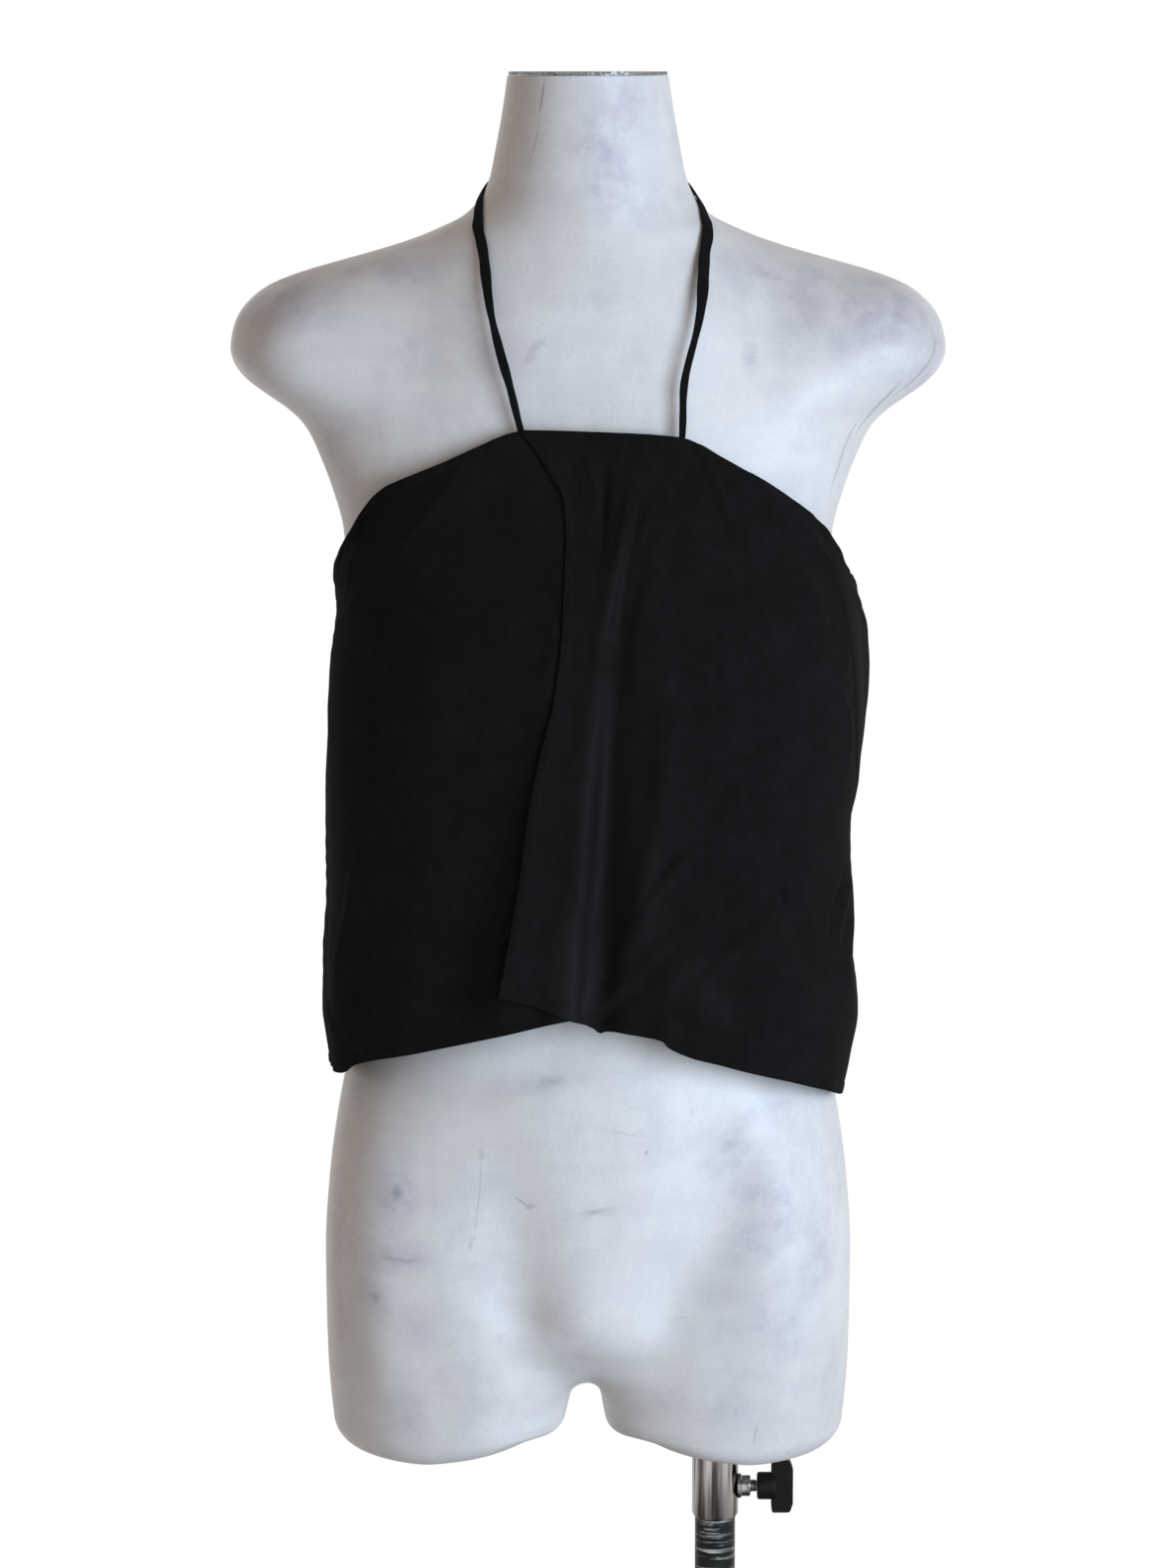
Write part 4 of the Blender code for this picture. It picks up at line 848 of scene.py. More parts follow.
# Soft relief of the front: each fold runs down through its places, with its rise there, minus for a hollow.
FORM_RELIEF = [
    ((86, 236, 0, 30), (80, 195, -5, 26), (72, 150, -10, 25), (50, 105, -14.5, 21), (38, 80, -16, 15),
     (23, 62, -18, 10), (11, 44, -15, 9)),
    ((-70, 236, 0, 30), (-54, 195, -5, 26), (-45, 150, -9, 24), (-41, 105, -13.5, 20), (-39, 80, -16, 14),
     (-25, 61, -18, 10), (-12, 44, -15, 9)),
    ((118, 236, 0, 30), (124, 180, 8.5, 29), (124, 140, 10.5, 30), (116, 60, 11, 34), (108, 10, 4, 32)),
    ((-118, 236, 0, 26), (-129, 180, 8, 26), (-127, 100, 10.5, 29), (-120, 55, 10, 32), (-110, 10, 3, 30)),
    ((2, 130, 1, 26), (1, 84, 7, 20), (0, 60, 16, 15), (-1, 46, 21, 13)),
]
# The caps of both shoulders stand proud of the hollows beside the chest.
SHOULDER_RELIEF = [
    ((172, 716, 1, 26), (180, 684, 11, 30), (180, 650, 11, 32), (168, 620, 3, 26)),
    ((104, 716, -1, 30), (100, 682, -7.5, 34), (96, 640, -7.5, 34), (88, 604, -1, 28)),
]
FORM_RELIEF += [[(side * x, *rest) for x, *rest in fold] for fold in SHOULDER_RELIEF for side in (-1, 1)]
RELIEF_FOLDS = [table("x height rise width", *fold) for fold in FORM_RELIEF]
RELIEF_DEPTH = 40.0  # it fades out towards the sides over this depth
UNDERCUT_REACH = 95.0  # the thighs' undersides curve up towards the fork
UNDERCUT_WIDTH = 55.0
UNDERCUT_MOST = 1.1
UNDERCUT_RISE = 9.0
UNDERCUT_TOP = 24.0
NOTCH_NARROWING = (0.32, 0.50)  # how much closer the thighs stand under the fork, at -X and at +X
NOTCH_REACH = (18.0, 52.0)
NOTCH_HEIGHTS = (14, 58)


def fine_heights():
    """Ring heights down the torso, closer together at the foot of the neck."""
    heights = []
    listed = column(FORM_RINGS, "height")
    for upper, lower in zip(listed, listed[1:]):
        at_neck = lower >= NECK_FOOT[0] and upper <= NECK_FOOT[1]
        pieces = math.ceil((upper - lower) / (NECK_RING_STEP if at_neck else RING_STEP))
        heights += [upper + (lower - upper) * k / pieces for k in range(pieces)]
    return heights + [listed[-1]]


def torso_half_ring(height):
    """Half a ring from the front to the back, with its points spread evenly over its length."""
    turn = np.radians(np.linspace(0.0, 180.0, HALF_COLUMNS + 1))
    half_width, front, back = read_columns(FORM_RINGS, "height", "half_width front back", height)
    depth = np.where(np.cos(turn) > 0, front, back)
    angle = np.degrees(np.arctan2(half_width * np.sin(turn), depth * np.cos(turn)))
    points = form_point(angle, np.full(angle.shape, float(height)))
    points[0, 0] = points[-1, 0] = 0.0
    return points


def thigh_ring(height, inset=0.0):
    """A closed ring round one thigh: its outer side first, then its inner side from back to front."""
    inner, outer, front, back = read_columns(THIGH_RINGS, "height", "inner outer front back", height)
    centre = (outer + inner) / 2
    around = np.concatenate([
        np.linspace(-THIGH_TURN, 180.0 + THIGH_TURN, HALF_COLUMNS + 1),
        np.linspace(180.0 + THIGH_TURN, 360.0 - THIGH_TURN, FORK_COLUMNS + 1)[1:-1]])
    turn = np.radians(around)
    depth = np.where(np.cos(turn) > 0, -front, back)

    # the outer side lies on the hips' own outline, from its point above the thigh's centre outwards
    centre_turn = math.asin((centre / outer) ** (OUTER_SQUARENESS / 2))
    from_front = np.abs(np.where(around > 90.0, 180.0 - around, around)) / 90.0
    hip_turn = centre_turn + (math.pi / 2 - centre_turn) * from_front
    outer_x = outer * np.sin(hip_turn) ** (2 / OUTER_SQUARENESS)
    outer_y = depth * np.abs(np.cos(hip_turn)) ** (2 / OUTER_SQUARENESS)

    # the inner side rounds off from there towards the fork
    inner_x = centre - (centre - inner) * np.abs(np.sin(turn)) ** (2 / INNER_SQUARENESS)
    inner_y = (depth * (1 - (inner_x / outer) ** OUTER_SQUARENESS) ** (1 / OUTER_SQUARENESS)
               * np.abs(np.cos(turn)) ** (2 / INNER_SQUARENESS))

    is_outer = np.sin(turn) >= 0
    x = centre + (np.where(is_outer, outer_x, inner_x) - centre) * (1 - inset / (outer - centre))
    y = np.where(is_outer, outer_y, inner_y) * (1 - inset / front)
    return np.stack([x, y, np.full(x.shape, float(height))], axis=-1)


def front_relief(points):
    """Moves the front out and in along the soft folds of the hips, the thighs and the shoulders."""
    points = points.copy()
    in_front = smooth_step(-points[:, 1] / RELIEF_DEPTH)
    for fold in RELIEF_FOLDS:
        nearest = np.full(len(points), np.inf)
        rise, width = np.zeros(len(points)), np.ones(len(points))
        for upper, lower in zip(fold, fold[1:]):
            run = np.array([lower.x - upper.x, lower.height - upper.height])
            off = points[:, [0, 2]] - np.array([upper.x, upper.height])
            t = np.clip(off @ run / (run @ run), 0.0, 1.0)
            distance = np.linalg.norm(off - t[:, None] * run, axis=1)
            closer = distance < nearest
            nearest = np.where(closer, distance, nearest)
            rise = np.where(closer, upper.rise + (lower.rise - upper.rise) * t, rise)
            width = np.where(closer, upper.width + (lower.width - upper.width) * t, width)
        points[:, 1] -= in_front * rise * np.exp(-(nearest / width)**2)
    return points


def undercut(points):
    """Curves the underside of each thigh up towards the fork."""
    inwards = np.clip((UNDERCUT_REACH - np.abs(points[:, 0])) / UNDERCUT_WIDTH, 0.0, UNDERCUT_MOST)
    above = np.clip(1.0 - points[:, 2] / UNDERCUT_TOP, 0.0, 1.0)
    return points + np.outer(UNDERCUT_RISE * inwards * above, [0.0, 0.0, 1.0])


def add_form_half(bm, side):
    """One half of the form, at +X with side 1 and at -X with side -1: its top ring and its lowest ring."""
    def add_ring(points):
        return add_vertices(bm, undercut(front_relief(points * np.array([side, 1.0, 1.0]))))

    def join(upper, lower, closed=False):
        for k in range(len(upper) if closed else len(upper) - 1):
            after = (k + 1) % len(upper)
            corners = (lower[k], lower[after], upper[after], upper[k])
            bm.faces.new(corners if side > 0 else corners[::-1])

    last = HALF_COLUMNS
    rings = [add_ring(torso_half_ring(height)) for height in fine_heights()]
    fork = thigh_ring(THIGH_RINGS[0].height)
    for height, share in BLEND_RINGS:
        blend = torso_half_ring(height) * (1 - share) + fork[:last + 1] * share
        blend[:, 2] = height
        blend[0, 0] = blend[-1, 0] = 0.0
        rings.append(add_ring(blend))
    for upper, lower in zip(rings, rings[1:]):
        join(upper, lower)

    fork[0, :2], fork[last, :2] = (0.0, -FORK_LIP), (0.0, FORK_LIP)
    fork[last + 1:, 0] = 0.0
    fork[last + 1:, 2] = FORK_HEIGHT
    thigh = [add_ring(fork)]
    join(rings[-1], thigh[0][:last + 1])
    thigh += [add_ring(thigh_ring(height)) for height in THIGH_HEIGHTS]
    for turn in np.radians(ROUNDING_TURNS):
        points = thigh_ring(THIGH_ROUNDING, THIGH_ROUNDING * (1 - np.cos(turn)))
        points[:, 2] = THIGH_ROUNDING * (1 - np.sin(turn))
        thigh.append(add_ring(points))
    for upper, lower in zip(thigh, thigh[1:]):
        join(upper, lower, closed=True)
    return rings[0], thigh[-1]


def add_bore(bm, above):
    """The hole for the pole, up from the underside that the last ring closes."""
    turns = np.array([math.atan2(vert.co.y, vert.co.x - BORE_X * MM) for vert in above])
    for height in (0.0, BORE_DEPTH):
        ring = add_vertices(bm, np.stack([BORE_X + BORE_RADIUS * np.cos(turns), BORE_RADIUS * np.sin(turns),
                                          np.full(len(turns), height)], axis=-1))
        add_band(bm, ring, above)
        above = ring
    bm.faces.new(above)


def sharpen_edges(bm, top):
    """Keeps the neck's top edge and the bore's level edges sharp in the smoothed form."""
    crease = bm.edges.layers.float.new("crease_edge")
    for line in bm.edges:
        ends = [vert.co / MM for vert in line.verts]
        at_top = all(abs(end.z - top / MM) < LEVEL for end in ends)
        at_bore = abs(ends[0].z - ends[1].z) < LEVEL and all(
            math.hypot(end.x - BORE_X, end.y) < BORE_RADIUS + BORE_EDGE for end in ends)
        if at_top or at_bore:
            line[crease] = 1.0
            line.smooth = False


def soften_fork(bm):
    """Smooths the form where the thighs meet, then brings their inner sides closer together."""
    def verts_within(reach, low, high):
        return [vert for vert in bm.verts
                if abs(vert.co.x) < reach * MM and low * MM < vert.co.z < high * MM]

    for reach, low, high, rounds in FORK_SMOOTHING:
        fork = verts_within(reach, low, high)
        for _ in range(rounds):
            bmesh.ops.smooth_vert(bm, verts=fork, factor=0.5, use_axis_x=True, use_axis_y=True,
                                  use_axis_z=True)
    for vert in verts_within(NOTCH_REACH[1], *NOTCH_HEIGHTS):
        away = (abs(vert.co.x) / MM - NOTCH_REACH[0]) / (NOTCH_REACH[1] - NOTCH_REACH[0])
        vert.co.x *= 1.0 - NOTCH_NARROWING[int(vert.co.x > 0)] * (1.0 - float(smooth_step(away)))


def make_form(material):
    bm = bmesh.new()
    top_right, under_right = add_form_half(bm, 1.0)
    top_left, under_left = add_form_half(bm, -1.0)
    add_bore(bm, under_right)
    bm.faces.new(under_left)
    bm.faces.new(top_right + top_left[-2:0:-1])
    top = top_right[0].co.z
    bmesh.ops.remove_doubles(bm, verts=bm.verts, dist=MERGED * MM)
    bmesh.ops.recalc_face_normals(bm, faces=bm.faces)
    sharpen_edges(bm, top)
    soften_fork(bm)
    form = add_piece("form_shell", bm, material, "form", "dress_form", FORM_PLACE)
    smooth = form.modifiers.new("Smooth shell", "SUBSURF")
    smooth.levels = smooth.render_levels = 1


# ---- The stand, metres ----
POLE_RADIUS = 0.0120
POLE_EDGE = 0.0008
SLIDE_GAP = 0.0003  # round the pole in the base and in the collar
PLATE_THICKNESS = 0.008
PLATE_EDGE = 0.002  # rounded above, and half as much bevelled below
HUB_RADIUS = 0.020
HUB_EDGE = 0.0015
COLLAR_RADIUS = 0.0138
COLLAR_CHAMFER = 0.0022
COLLAR_LIP = 0.0004
BOSS_RADIUS = 0.0063
BOSS_EDGE = 0.0006
BOSS_SINK = 0.0006  # how far it starts inside the collar
FLANGE_RADIUS = 0.0074
FLANGE_HEIGHT = 0.0018
FLANGE_BEVEL = 0.0004
SCREW_RADIUS = 0.00385
SCREW_SIDES = 48
THREAD_PITCH = 0.00125
THREAD_DEPTH = 0.0006
THREAD_STEPS = 12  # along each pitch
THREAD_FADE = 10  # steps over which the thread starts and ends
KNOB_RADIUS = 0.0082
KNOB_EDGES = (0.0014, 0.0016)
WING_LENGTH = 0.0130
WING_OVERLAP = 0.0030  # of the wing and the round hub
WING_HALF_THICKNESS = 0.0034
WING_BEVEL = 0.0007
WING_BEVEL_STEPS = 3
WING_BEVEL_ANGLE = math.radians(40)  # edges that turn further are bevelled
# Its lower half's outline, in shares of half its span and half its length.
WING_OUTLINE = [(-0.80, -1.0), (-0.97, -0.93), (-1.0, -0.80), (-1.0, 0.60), (-0.93, 0.78), (-0.66, 1.0)]
ROUND_SIDES = 96
SMALL_SIDES = 64
SHARP = math.radians(32)  # edges that turn further are sharp


def add_turned(bm, profile, axis="z", sides=ROUND_SIDES, centre=(0, 0, 0)):
    """Adds a turned shape. The profile lists (radius, place along the axis); a radius of 0 closes an end."""
    rings = []
    for radius, place in profile:
        ring = []
        for k in range(sides if radius > 0 else 1):
            turn = 2 * math.pi * k / sides
            round_point = (radius * math.cos(turn), radius * math.sin(turn))
            point = (*round_point, place) if axis == "z" else (place, *round_point)
            ring.append(bm.verts.new(Vector(centre) + Vector(point)))
        rings.append(ring)
    for near, far in zip(rings, rings[1:]):
        add_band(bm, near, far)


def rounded(corner_radius, radius, place, inwards, steps=4):
    """Profile points of a rounded outer corner that turns from the side to the end face."""
    turns = [math.pi / 2 * k / steps for k in range(steps + 1)]
    return [(radius - corner_radius * (1 - math.cos(turn)),
             place + inwards * corner_radius * (1 - math.sin(turn))) for turn in turns]


def finish_turned(name, bm, material, body, node):
    bmesh.ops.recalc_face_normals(bm, faces=bm.faces)
    for edge in bm.edges:
        if len(edge.link_faces) == 2 and edge.calc_face_angle() > SHARP:
            edge.smooth = False
    return add_piece(name, bm, material, body, node)


def make_pole(material):
    low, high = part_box("pole")
    bm = bmesh.new()
    add_turned(bm, [(0, low.z), (POLE_RADIUS, low.z)] + rounded(POLE_EDGE, POLE_RADIUS, high.z, -1)
               + [(0, high.z)])
    finish_turned("stand_pole", bm, material, "pole", "pole")


def make_base(material):
    low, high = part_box("base_plate")
    outer, socket, bevel = (high.x - low.x) / 2, POLE_RADIUS + SLIDE_GAP, PLATE_EDGE / 2
    bm = bmesh.new()
    add_turned(bm, [(0, low.z), (outer - bevel, low.z), (outer, low.z + bevel)]
               + rounded(PLATE_EDGE, outer, PLATE_THICKNESS, -1)
               + [(HUB_RADIUS + PLATE_EDGE, PLATE_THICKNESS), (HUB_RADIUS, PLATE_THICKNESS + PLATE_EDGE)]
               + rounded(HUB_EDGE, HUB_RADIUS, high.z, -1)
               + [(socket, high.z), (socket, PLATE_THICKNESS), (0, PLATE_THICKNESS)])
    finish_turned("stand_base", bm, material, "base", "base_plate")


def make_collar(material):
    """The chrome tube under the thigh, with the boss that the clamp screw runs in."""
    low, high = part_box("collar")
    inner = POLE_RADIUS + SLIDE_GAP
    bm = bmesh.new()
    add_turned(bm, [(inner, high.z), (COLLAR_RADIUS, high.z), (COLLAR_RADIUS, low.z + COLLAR_CHAMFER),
                    (inner + COLLAR_LIP, low.z), (inner, low.z), (inner, high.z)])
    bore = SCREW_RADIUS + COLLAR_LIP
    start, flange = COLLAR_RADIUS - BOSS_SINK, COLLAR_RADIUS + FLANGE_HEIGHT
    add_turned(bm, [(bore, start), (FLANGE_RADIUS, start), (FLANGE_RADIUS, flange - FLANGE_BEVEL),
                    (FLANGE_RADIUS - FLANGE_BEVEL, flange), (BOSS_RADIUS, flange)]
               + rounded(BOSS_EDGE, BOSS_RADIUS, high.x, -1) + [(bore, high.x), (bore, start)],
               axis="x", sides=SMALL_SIDES, centre=(0, 0, CLAMP_LEVEL))
    finish_turned("clamp_collar", bm, material, "form", "collar")


def make_screw(material):
    """A threaded rod, its thread cut as a helix."""
    length = SCREW_HIGH.x - SCREW_LOW.x
    steps = round(length / THREAD_PITCH * THREAD_STEPS)
    bm = bmesh.new()
    rings = []
    for k in range(steps + 1):
        place = SCREW_LOW.x + length * k / steps
        fade = min(1.0, k / THREAD_FADE, (steps - k) / THREAD_FADE)
        ring = []
        for j in range(SCREW_SIDES):
            turn = 2 * math.pi * j / SCREW_SIDES
            phase = (place / THREAD_PITCH - j / SCREW_SIDES) % 1.0
            radius = SCREW_RADIUS - THREAD_DEPTH * (fade * abs(2 * phase - 1) + (1 - fade))
            ring.append(bm.verts.new((place, radius * math.cos(turn),
                                      CLAMP_LEVEL + radius * math.sin(turn))))
        rings.append(ring)
    for near, far in zip(rings, rings[1:]):
        add_band(bm, near, far)
    bm.faces.new(rings[0])
    bm.faces.new(rings[-1])
    finish_turned("clamp_screw_thread", bm, material, "knob", "clamp_screw")


def make_knob(material):
    """A round hub with a flat two-ended wing."""
    low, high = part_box("wing_knob")
    half_span, half_length = (high.z - low.z) / 2, WING_LENGTH / 2
    hub_end = high.x - WING_LENGTH + WING_OVERLAP
    bm = bmesh.new()
    add_turned(bm, [(0, low.x)] + rounded(KNOB_EDGES[0], KNOB_RADIUS, low.x, 1)[::-1]
               + rounded(KNOB_EDGES[1], KNOB_RADIUS, hub_end, -1) + [(0, hub_end)],
               axis="x", sides=SMALL_SIDES, centre=(0, 0, CLAMP_LEVEL))
    outline = WING_OUTLINE + [(-up, along) for up, along in WING_OUTLINE[::-1]]
    near, far = ([bm.verts.new((high.x - half_length + along * half_length, side,
                                CLAMP_LEVEL + up * half_span)) for up, along in outline]
                 for side in (-WING_HALF_THICKNESS, WING_HALF_THICKNESS))
    bm.faces.new(near)
    bm.faces.new(far[::-1])
    add_band(bm, near, far)
    knob = finish_turned("wing_knob_grip", bm, material, "knob", "wing_knob")
    bevel = knob.modifiers.new("Moulded edges", "BEVEL")
    bevel.width = WING_BEVEL
    bevel.segments = WING_BEVEL_STEPS
    bevel.limit_method = "ANGLE"
    bevel.angle_limit = WING_BEVEL_ANGLE


# ---- Materials ----

class Nodes:
    """Short calls for the nodes of one tree."""

    def __init__(self, tree):
        self.tree = tree

    def feed(self, socket, value):
        """Gives a socket a number or a colour, or links another node's output to it."""
        if isinstance(value, bpy.types.NodeSocket):
            self.tree.links.new(value, socket)
        elif isinstance(value, tuple) and socket.type == "RGBA" and len(value) == 3:
            socket.default_value = (*value, 1.0)
        else:
            socket.default_value = value

    def add(self, kind, inputs=None, **settings):
        node = self.tree.nodes.new("ShaderNode" + kind)
        for name, value in settings.items():
            setattr(node, name, value)
        for name, value in (inputs or {}).items():
            self.feed(node.inputs[name], value)
        return node

    def math(self, operation, first, second=0.0):
        return self.add("Math", {0: first, 1: second}, operation=operation).outputs[0]

    def vector(self, operation, inputs, output=0):
        return self.add("VectorMath", inputs, operation=operation).outputs[output]

    def remap(self, value, low, high, new_low=0.0, new_high=1.0):
        return self.add("MapRange", {"Value": value, "From Min": low, "From Max": high,
                                     "To Min": new_low, "To Max": new_high},
                        interpolation_type="SMOOTHSTEP").outputs[0]

    def mix(self, share, first, second):
        return self.add("Mix", {0: share, 6: first, 7: second}, data_type="RGBA").outputs[2]

    def bump(self, height, distance, strength=1.0, below=None):
        inputs = {"Height": height, "Distance": distance, "Strength": strength}
        return self.add("Bump", {**inputs, "Normal": below} if below else inputs).outputs[0]


class Finish(Nodes):
    """One procedural material on a Principled shader."""

    def __init__(self, name, **settings):
        self.material = bpy.data.materials.new(name)
        self.material.use_nodes = True
        super().__init__(self.material.node_tree)
        self.shader = self.tree.nodes["Principled BSDF"]
        self.place = self.add("TexCoord").outputs["Object"]
        self.set(**settings)

    def set(self, **settings):
        """Shader sockets by name, with _ for a space: a number, a colour or another node's output."""
        for name, value in settings.items():
            self.feed(self.shader.inputs[name.replace("_", " ")], value)
        return self.material

    def noise(self, scale, detail=3.0, roughness=0.5, stretch=None, distortion=0.0):
        place = self.place
        if stretch:
            place = self.add("Mapping", {"Vector": place, "Scale": stretch}).outputs[0]
        return self.add("TexNoise", {"Vector": place, "Scale": scale, "Detail": detail,
                                     "Roughness": roughness, "Distortion": distortion}).outputs[0]

    def patches(self, low, high, *noise, new=(0.0, 1.0), **stretch):
        """Noise turned into patches: the new values where it is under low and where it is over high."""
        return self.remap(self.noise(*noise, **stretch), low, high, *new)

    def spot(self, place, centre, turn, size, edge, strength):
        """An ellipsoid of the given strength, which falls to 0 over its edge, a span of its own radii."""
        inside = self.add("Mapping", {"Vector": place, "Location": centre, "Rotation": turn, "Scale": size},
                          vector_type="TEXTURE").outputs[0]
        distance = self.vector("LENGTH", {0: inside}, "Value")
        return self.remap(distance, *edge, 0.0, strength)

    def highest(self, values):
        total, *others = values
        for value in others:
            total = self.math("MAXIMUM", total, value)
        return total


CLOTH_COLOUR = (0.0056, 0.0055, 0.0055)
CLOTH_LIGHTER = (0.0082, 0.0082, 0.0085)
CLOTH_BETWEEN_THREADS = (0.0035, 0.0034, 0.0033)
CLOTH_SHINE = 0.060
THREAD_LIGHTER = (0.016, 0.017, 0.019)
THREAD_SPACING = 0.00045
# Pressed streaks down the front: their middles, leans from upright, half sizes, and how much smoother.
PRESSED = table(
    "x height lean length width shine",
    (18, 514, 12.6, 62, 11, 0.34), (4, 388, 3.8, 130, 12, 0.48), (-6, 304, 4, 60, 22, 0.52),
    (34, 370, -6, 70, 12, 0.2), (66, 292, -38, 44, 16, 0.22),
)
PRESSED_Y = -128.0
PRESSED_DEPTH = 60.0
PRESSED_EDGE = (1.0, 0.25)
SHEEN_TINT = (0.75, 0.86, 1.0)


def weave_height(finish, spacing):
    """A plain weave over the threads UV map: warp and weft pass over each other in turn."""
    threads = finish.add("UVMap", uv_map="threads").outputs[0]
    parts = finish.add("SeparateXYZ", {0: threads}).outputs
    waves = [finish.math("ABSOLUTE", finish.math("SINE", finish.math("MULTIPLY", part, math.pi / spacing)))
             for part in (parts[0], parts[1])]
    return finish.math("MULTIPLY", *waves)


def pressed_shine(finish):
    """How much smoother the cloth is where it has been pressed along its front folds."""
    return finish.highest([
        finish.spot(finish.place, (streak.x * MM, PRESSED_Y * MM, streak.height * MM),
                    (0.0, math.radians(streak.lean), 0.0),
                    (streak.width * MM, PRESSED_DEPTH * MM, streak.length * MM), PRESSED_EDGE, streak.shine)
        for streak in PRESSED])


def cloth_material():
    finish = Finish("black_woven_cloth", Specular_IOR_Level=CLOTH_SHINE, Sheen_Weight=0.01,
                    Sheen_Roughness=0.45, Sheen_Tint=SHEEN_TINT)
    mottle = finish.patches(0.30, 0.72, 38.0, 5.0, 0.62)
    slub = finish.patches(0.30, 0.75, 210.0, 2.0, 0.5, stretch=(1.0, 1.0, 0.45))
    tone = finish.math("MULTIPLY", finish.math("ADD", mottle, slub), 0.5)
    weave = weave_height(finish, THREAD_SPACING)
    colour = finish.mix(tone, CLOTH_COLOUR, CLOTH_LIGHTER)
    colour = finish.mix(finish.remap(weave, 0.0, 0.5, 0.45, 0.0), colour, CLOTH_BETWEEN_THREADS)
    normal = finish.bump(finish.noise(55.0, 4.0, 0.55), 0.0011, 0.55)
    normal = finish.bump(weave, 0.00012, 0.5, below=normal)
    edge_on = finish.add("LayerWeight", {"Blend": 0.5}).outputs["Facing"]
    rough = finish.math("MAXIMUM", finish.remap(tone, 0.0, 1.0, 0.94, 0.86),
                        finish.remap(edge_on, 0.30, 0.60, 0.86, 1.0))
    return finish.set(Base_Color=colour, Normal=normal,
                      Roughness=finish.math("SUBTRACT", rough, pressed_shine(finish)))


def thread_material():
    finish = Finish("black_sewing_thread", Specular_IOR_Level=0.10, Sheen_Weight=0.02,
                    Sheen_Roughness=0.4, Sheen_Tint=SHEEN_TINT)
    twist = finish.patches(0.3, 0.7, 2600.0, 1.0, 0.5, stretch=(1.0, 1.0, 2.0))
    return finish.set(Base_Color=finish.mix(twist, CLOTH_COLOUR, THREAD_LIGHTER),
                      Roughness=finish.remap(twist, 0.0, 1.0, 0.62, 0.42),
                      Normal=finish.bump(twist, 0.0001, 0.6))


# Scuffs, smudges and some painted shade on the form: where, how they lean from upright, their half lengths,
# and how strong.
MARK = "angle height lean length width strength"
STAINS_AND_SHADE = table(
    MARK,
    # neck
    (10, 752, -15, 26, 15, 0.8), (18, 785, 20, 20, 20, 0.62), (30, 722, 40, 22, 12, 0.35),
    (-8, 738, 0, 14, 10, 0.25),
    # shoulders
    (-79, 672, 80, 30, 18, 0.75), (-70, 694, 75, 34, 9, 0.5), (-86, 655, 0, 16, 12, 0.55),
    (77, 668, 60, 34, 26, 0.85), (68, 690, -75, 36, 12, 0.6), (84, 650, 0, 20, 18, 0.7),
    (66, 672, 20, 24, 18, 0.6), (-62, 612, 10, 18, 10, 0.2),
    # hips
    (-53, 168, 0, 20, 14, 0.6), (-53, 131, 88, 19, 9, 0.6), (-58, 107, 0, 12, 9, 0.45),
    (-48, 80, 20, 17, 11, 0.35), (-52, 38, 0, 20, 11, 0.35), (-71, 120, 0, 40, 9, 0.4),
    (42, 193, 20, 18, 13, 0.5), (51, 160, 0, 30, 20, 0.62), (47, 138, 80, 24, 14, 0.52),
    (61, 122, 0, 28, 14, 0.52), (53, 84, 0, 28, 18, 0.55), (42, 40, 20, 24, 18, 0.48),
    # the first mark below, long and broad on the right hip, is partly stain and partly painted shade on the
    # hip's slope
    (52, 110, 0, 90, 34, 0.34), (82, 642, 0, 30, 40, 0.55), (68, 42, 0, 22, 10, 0.35),
    (48, 212, 80, 20, 8, 0.4), (4, 160, 86, 15, 4, 0.3), (-16, 236, 70, 26, 8, 0.4),
    # the back
    (110, 640, 10, 30, 20, 0.45), (205, 150, -20, 34, 20, 0.45), (150, 110, 0, 30, 18, 0.4),
    (175, 600, 30, 36, 14, 0.3), (235, 665, 70, 34, 14, 0.45), (195, 770, 0, 22, 16, 0.4),
)
SMUDGES = table(
    MARK,
    (-52.3, 167, 0, 4, 3, 0.6), (-57.5, 106, 0, 4, 3.2, 0.6), (-52, 129, 88, 14, 1.6, 0.35),
    (-18, 162, 80, 2.6, 1.9, 0.65), (41.5, 196, 60, 5, 2.4, 0.35), (3, 161, 78, 9, 1.3, 0.3),
    (52.5, 646, 5, 8, 4.6, 0.42), (75.4, 683, 20, 5, 2.6, 0.2), (67.4, 694, 70, 6, 1.6, 0.3),
    (-81.6, 677, 0, 6, 3, 0.3), (-20, 652, 38, 5.5, 2.6, 0.32), (-22.6, 645, 80, 3.6, 2.2, 0.3),
    (-12, 236, 70, 7, 3, 0.45), (228, 640, -30, 10, 2, 0.45), (-32.2, 192, 10, 3.4, 1.5, 0.35),
    (-35, 140, 0, 4, 1.4, 0.4),
)
SCRATCHES_AND_CREASE_SHADE = table(
    MARK,
    (-29.6, 790, 9, 9, 0.75, 0.55), (-32.4, 766, 10, 12, 0.6, 0.32), (-20.6, 165, -58, 6, 0.45, 0.55),
    (-32.8, 168, 6, 26, 0.35, 0.32), (18.1, 195, 30, 1.6, 0.8, 0.5), (11.5, 206, -78, 9, 0.35, 0.28),
    (49.5, 24, 4, 6.5, 0.45, 0.4), (59, 8, 0, 2, 0.6, 0.35), (150, 690, 60, 12, 0.45, 0.5),
    (172, 110, 20, 16, 0.45, 0.45), (-66, 150, 30, 8, 0.4, 0.3), (30, 92, 70, 7, 0.4, 0.25),
    # the mould's edge under the shoulder cap: painted shade of its fine crease, as a dark line
    (74.6, 589, 10, 22, 1.6, 0.3), (76.6, 616, 12, 20, 1.5, 0.46), (80, 636, 42, 20, 1.5, 0.4),
)
POLISHED = table(
    MARK,
    (84, 662, 0, 34, 30, 0.24), (-84, 662, 0, 34, 30, 0.24),
)
PAINT = (0.744, 0.760, 0.760)
PAINT_WARMER = (0.70, 0.702, 0.690)
STAIN_AND_SHADE_TONE = (0.400, 0.385, 0.455)
SMUDGE = (0.245, 0.240, 0.300)
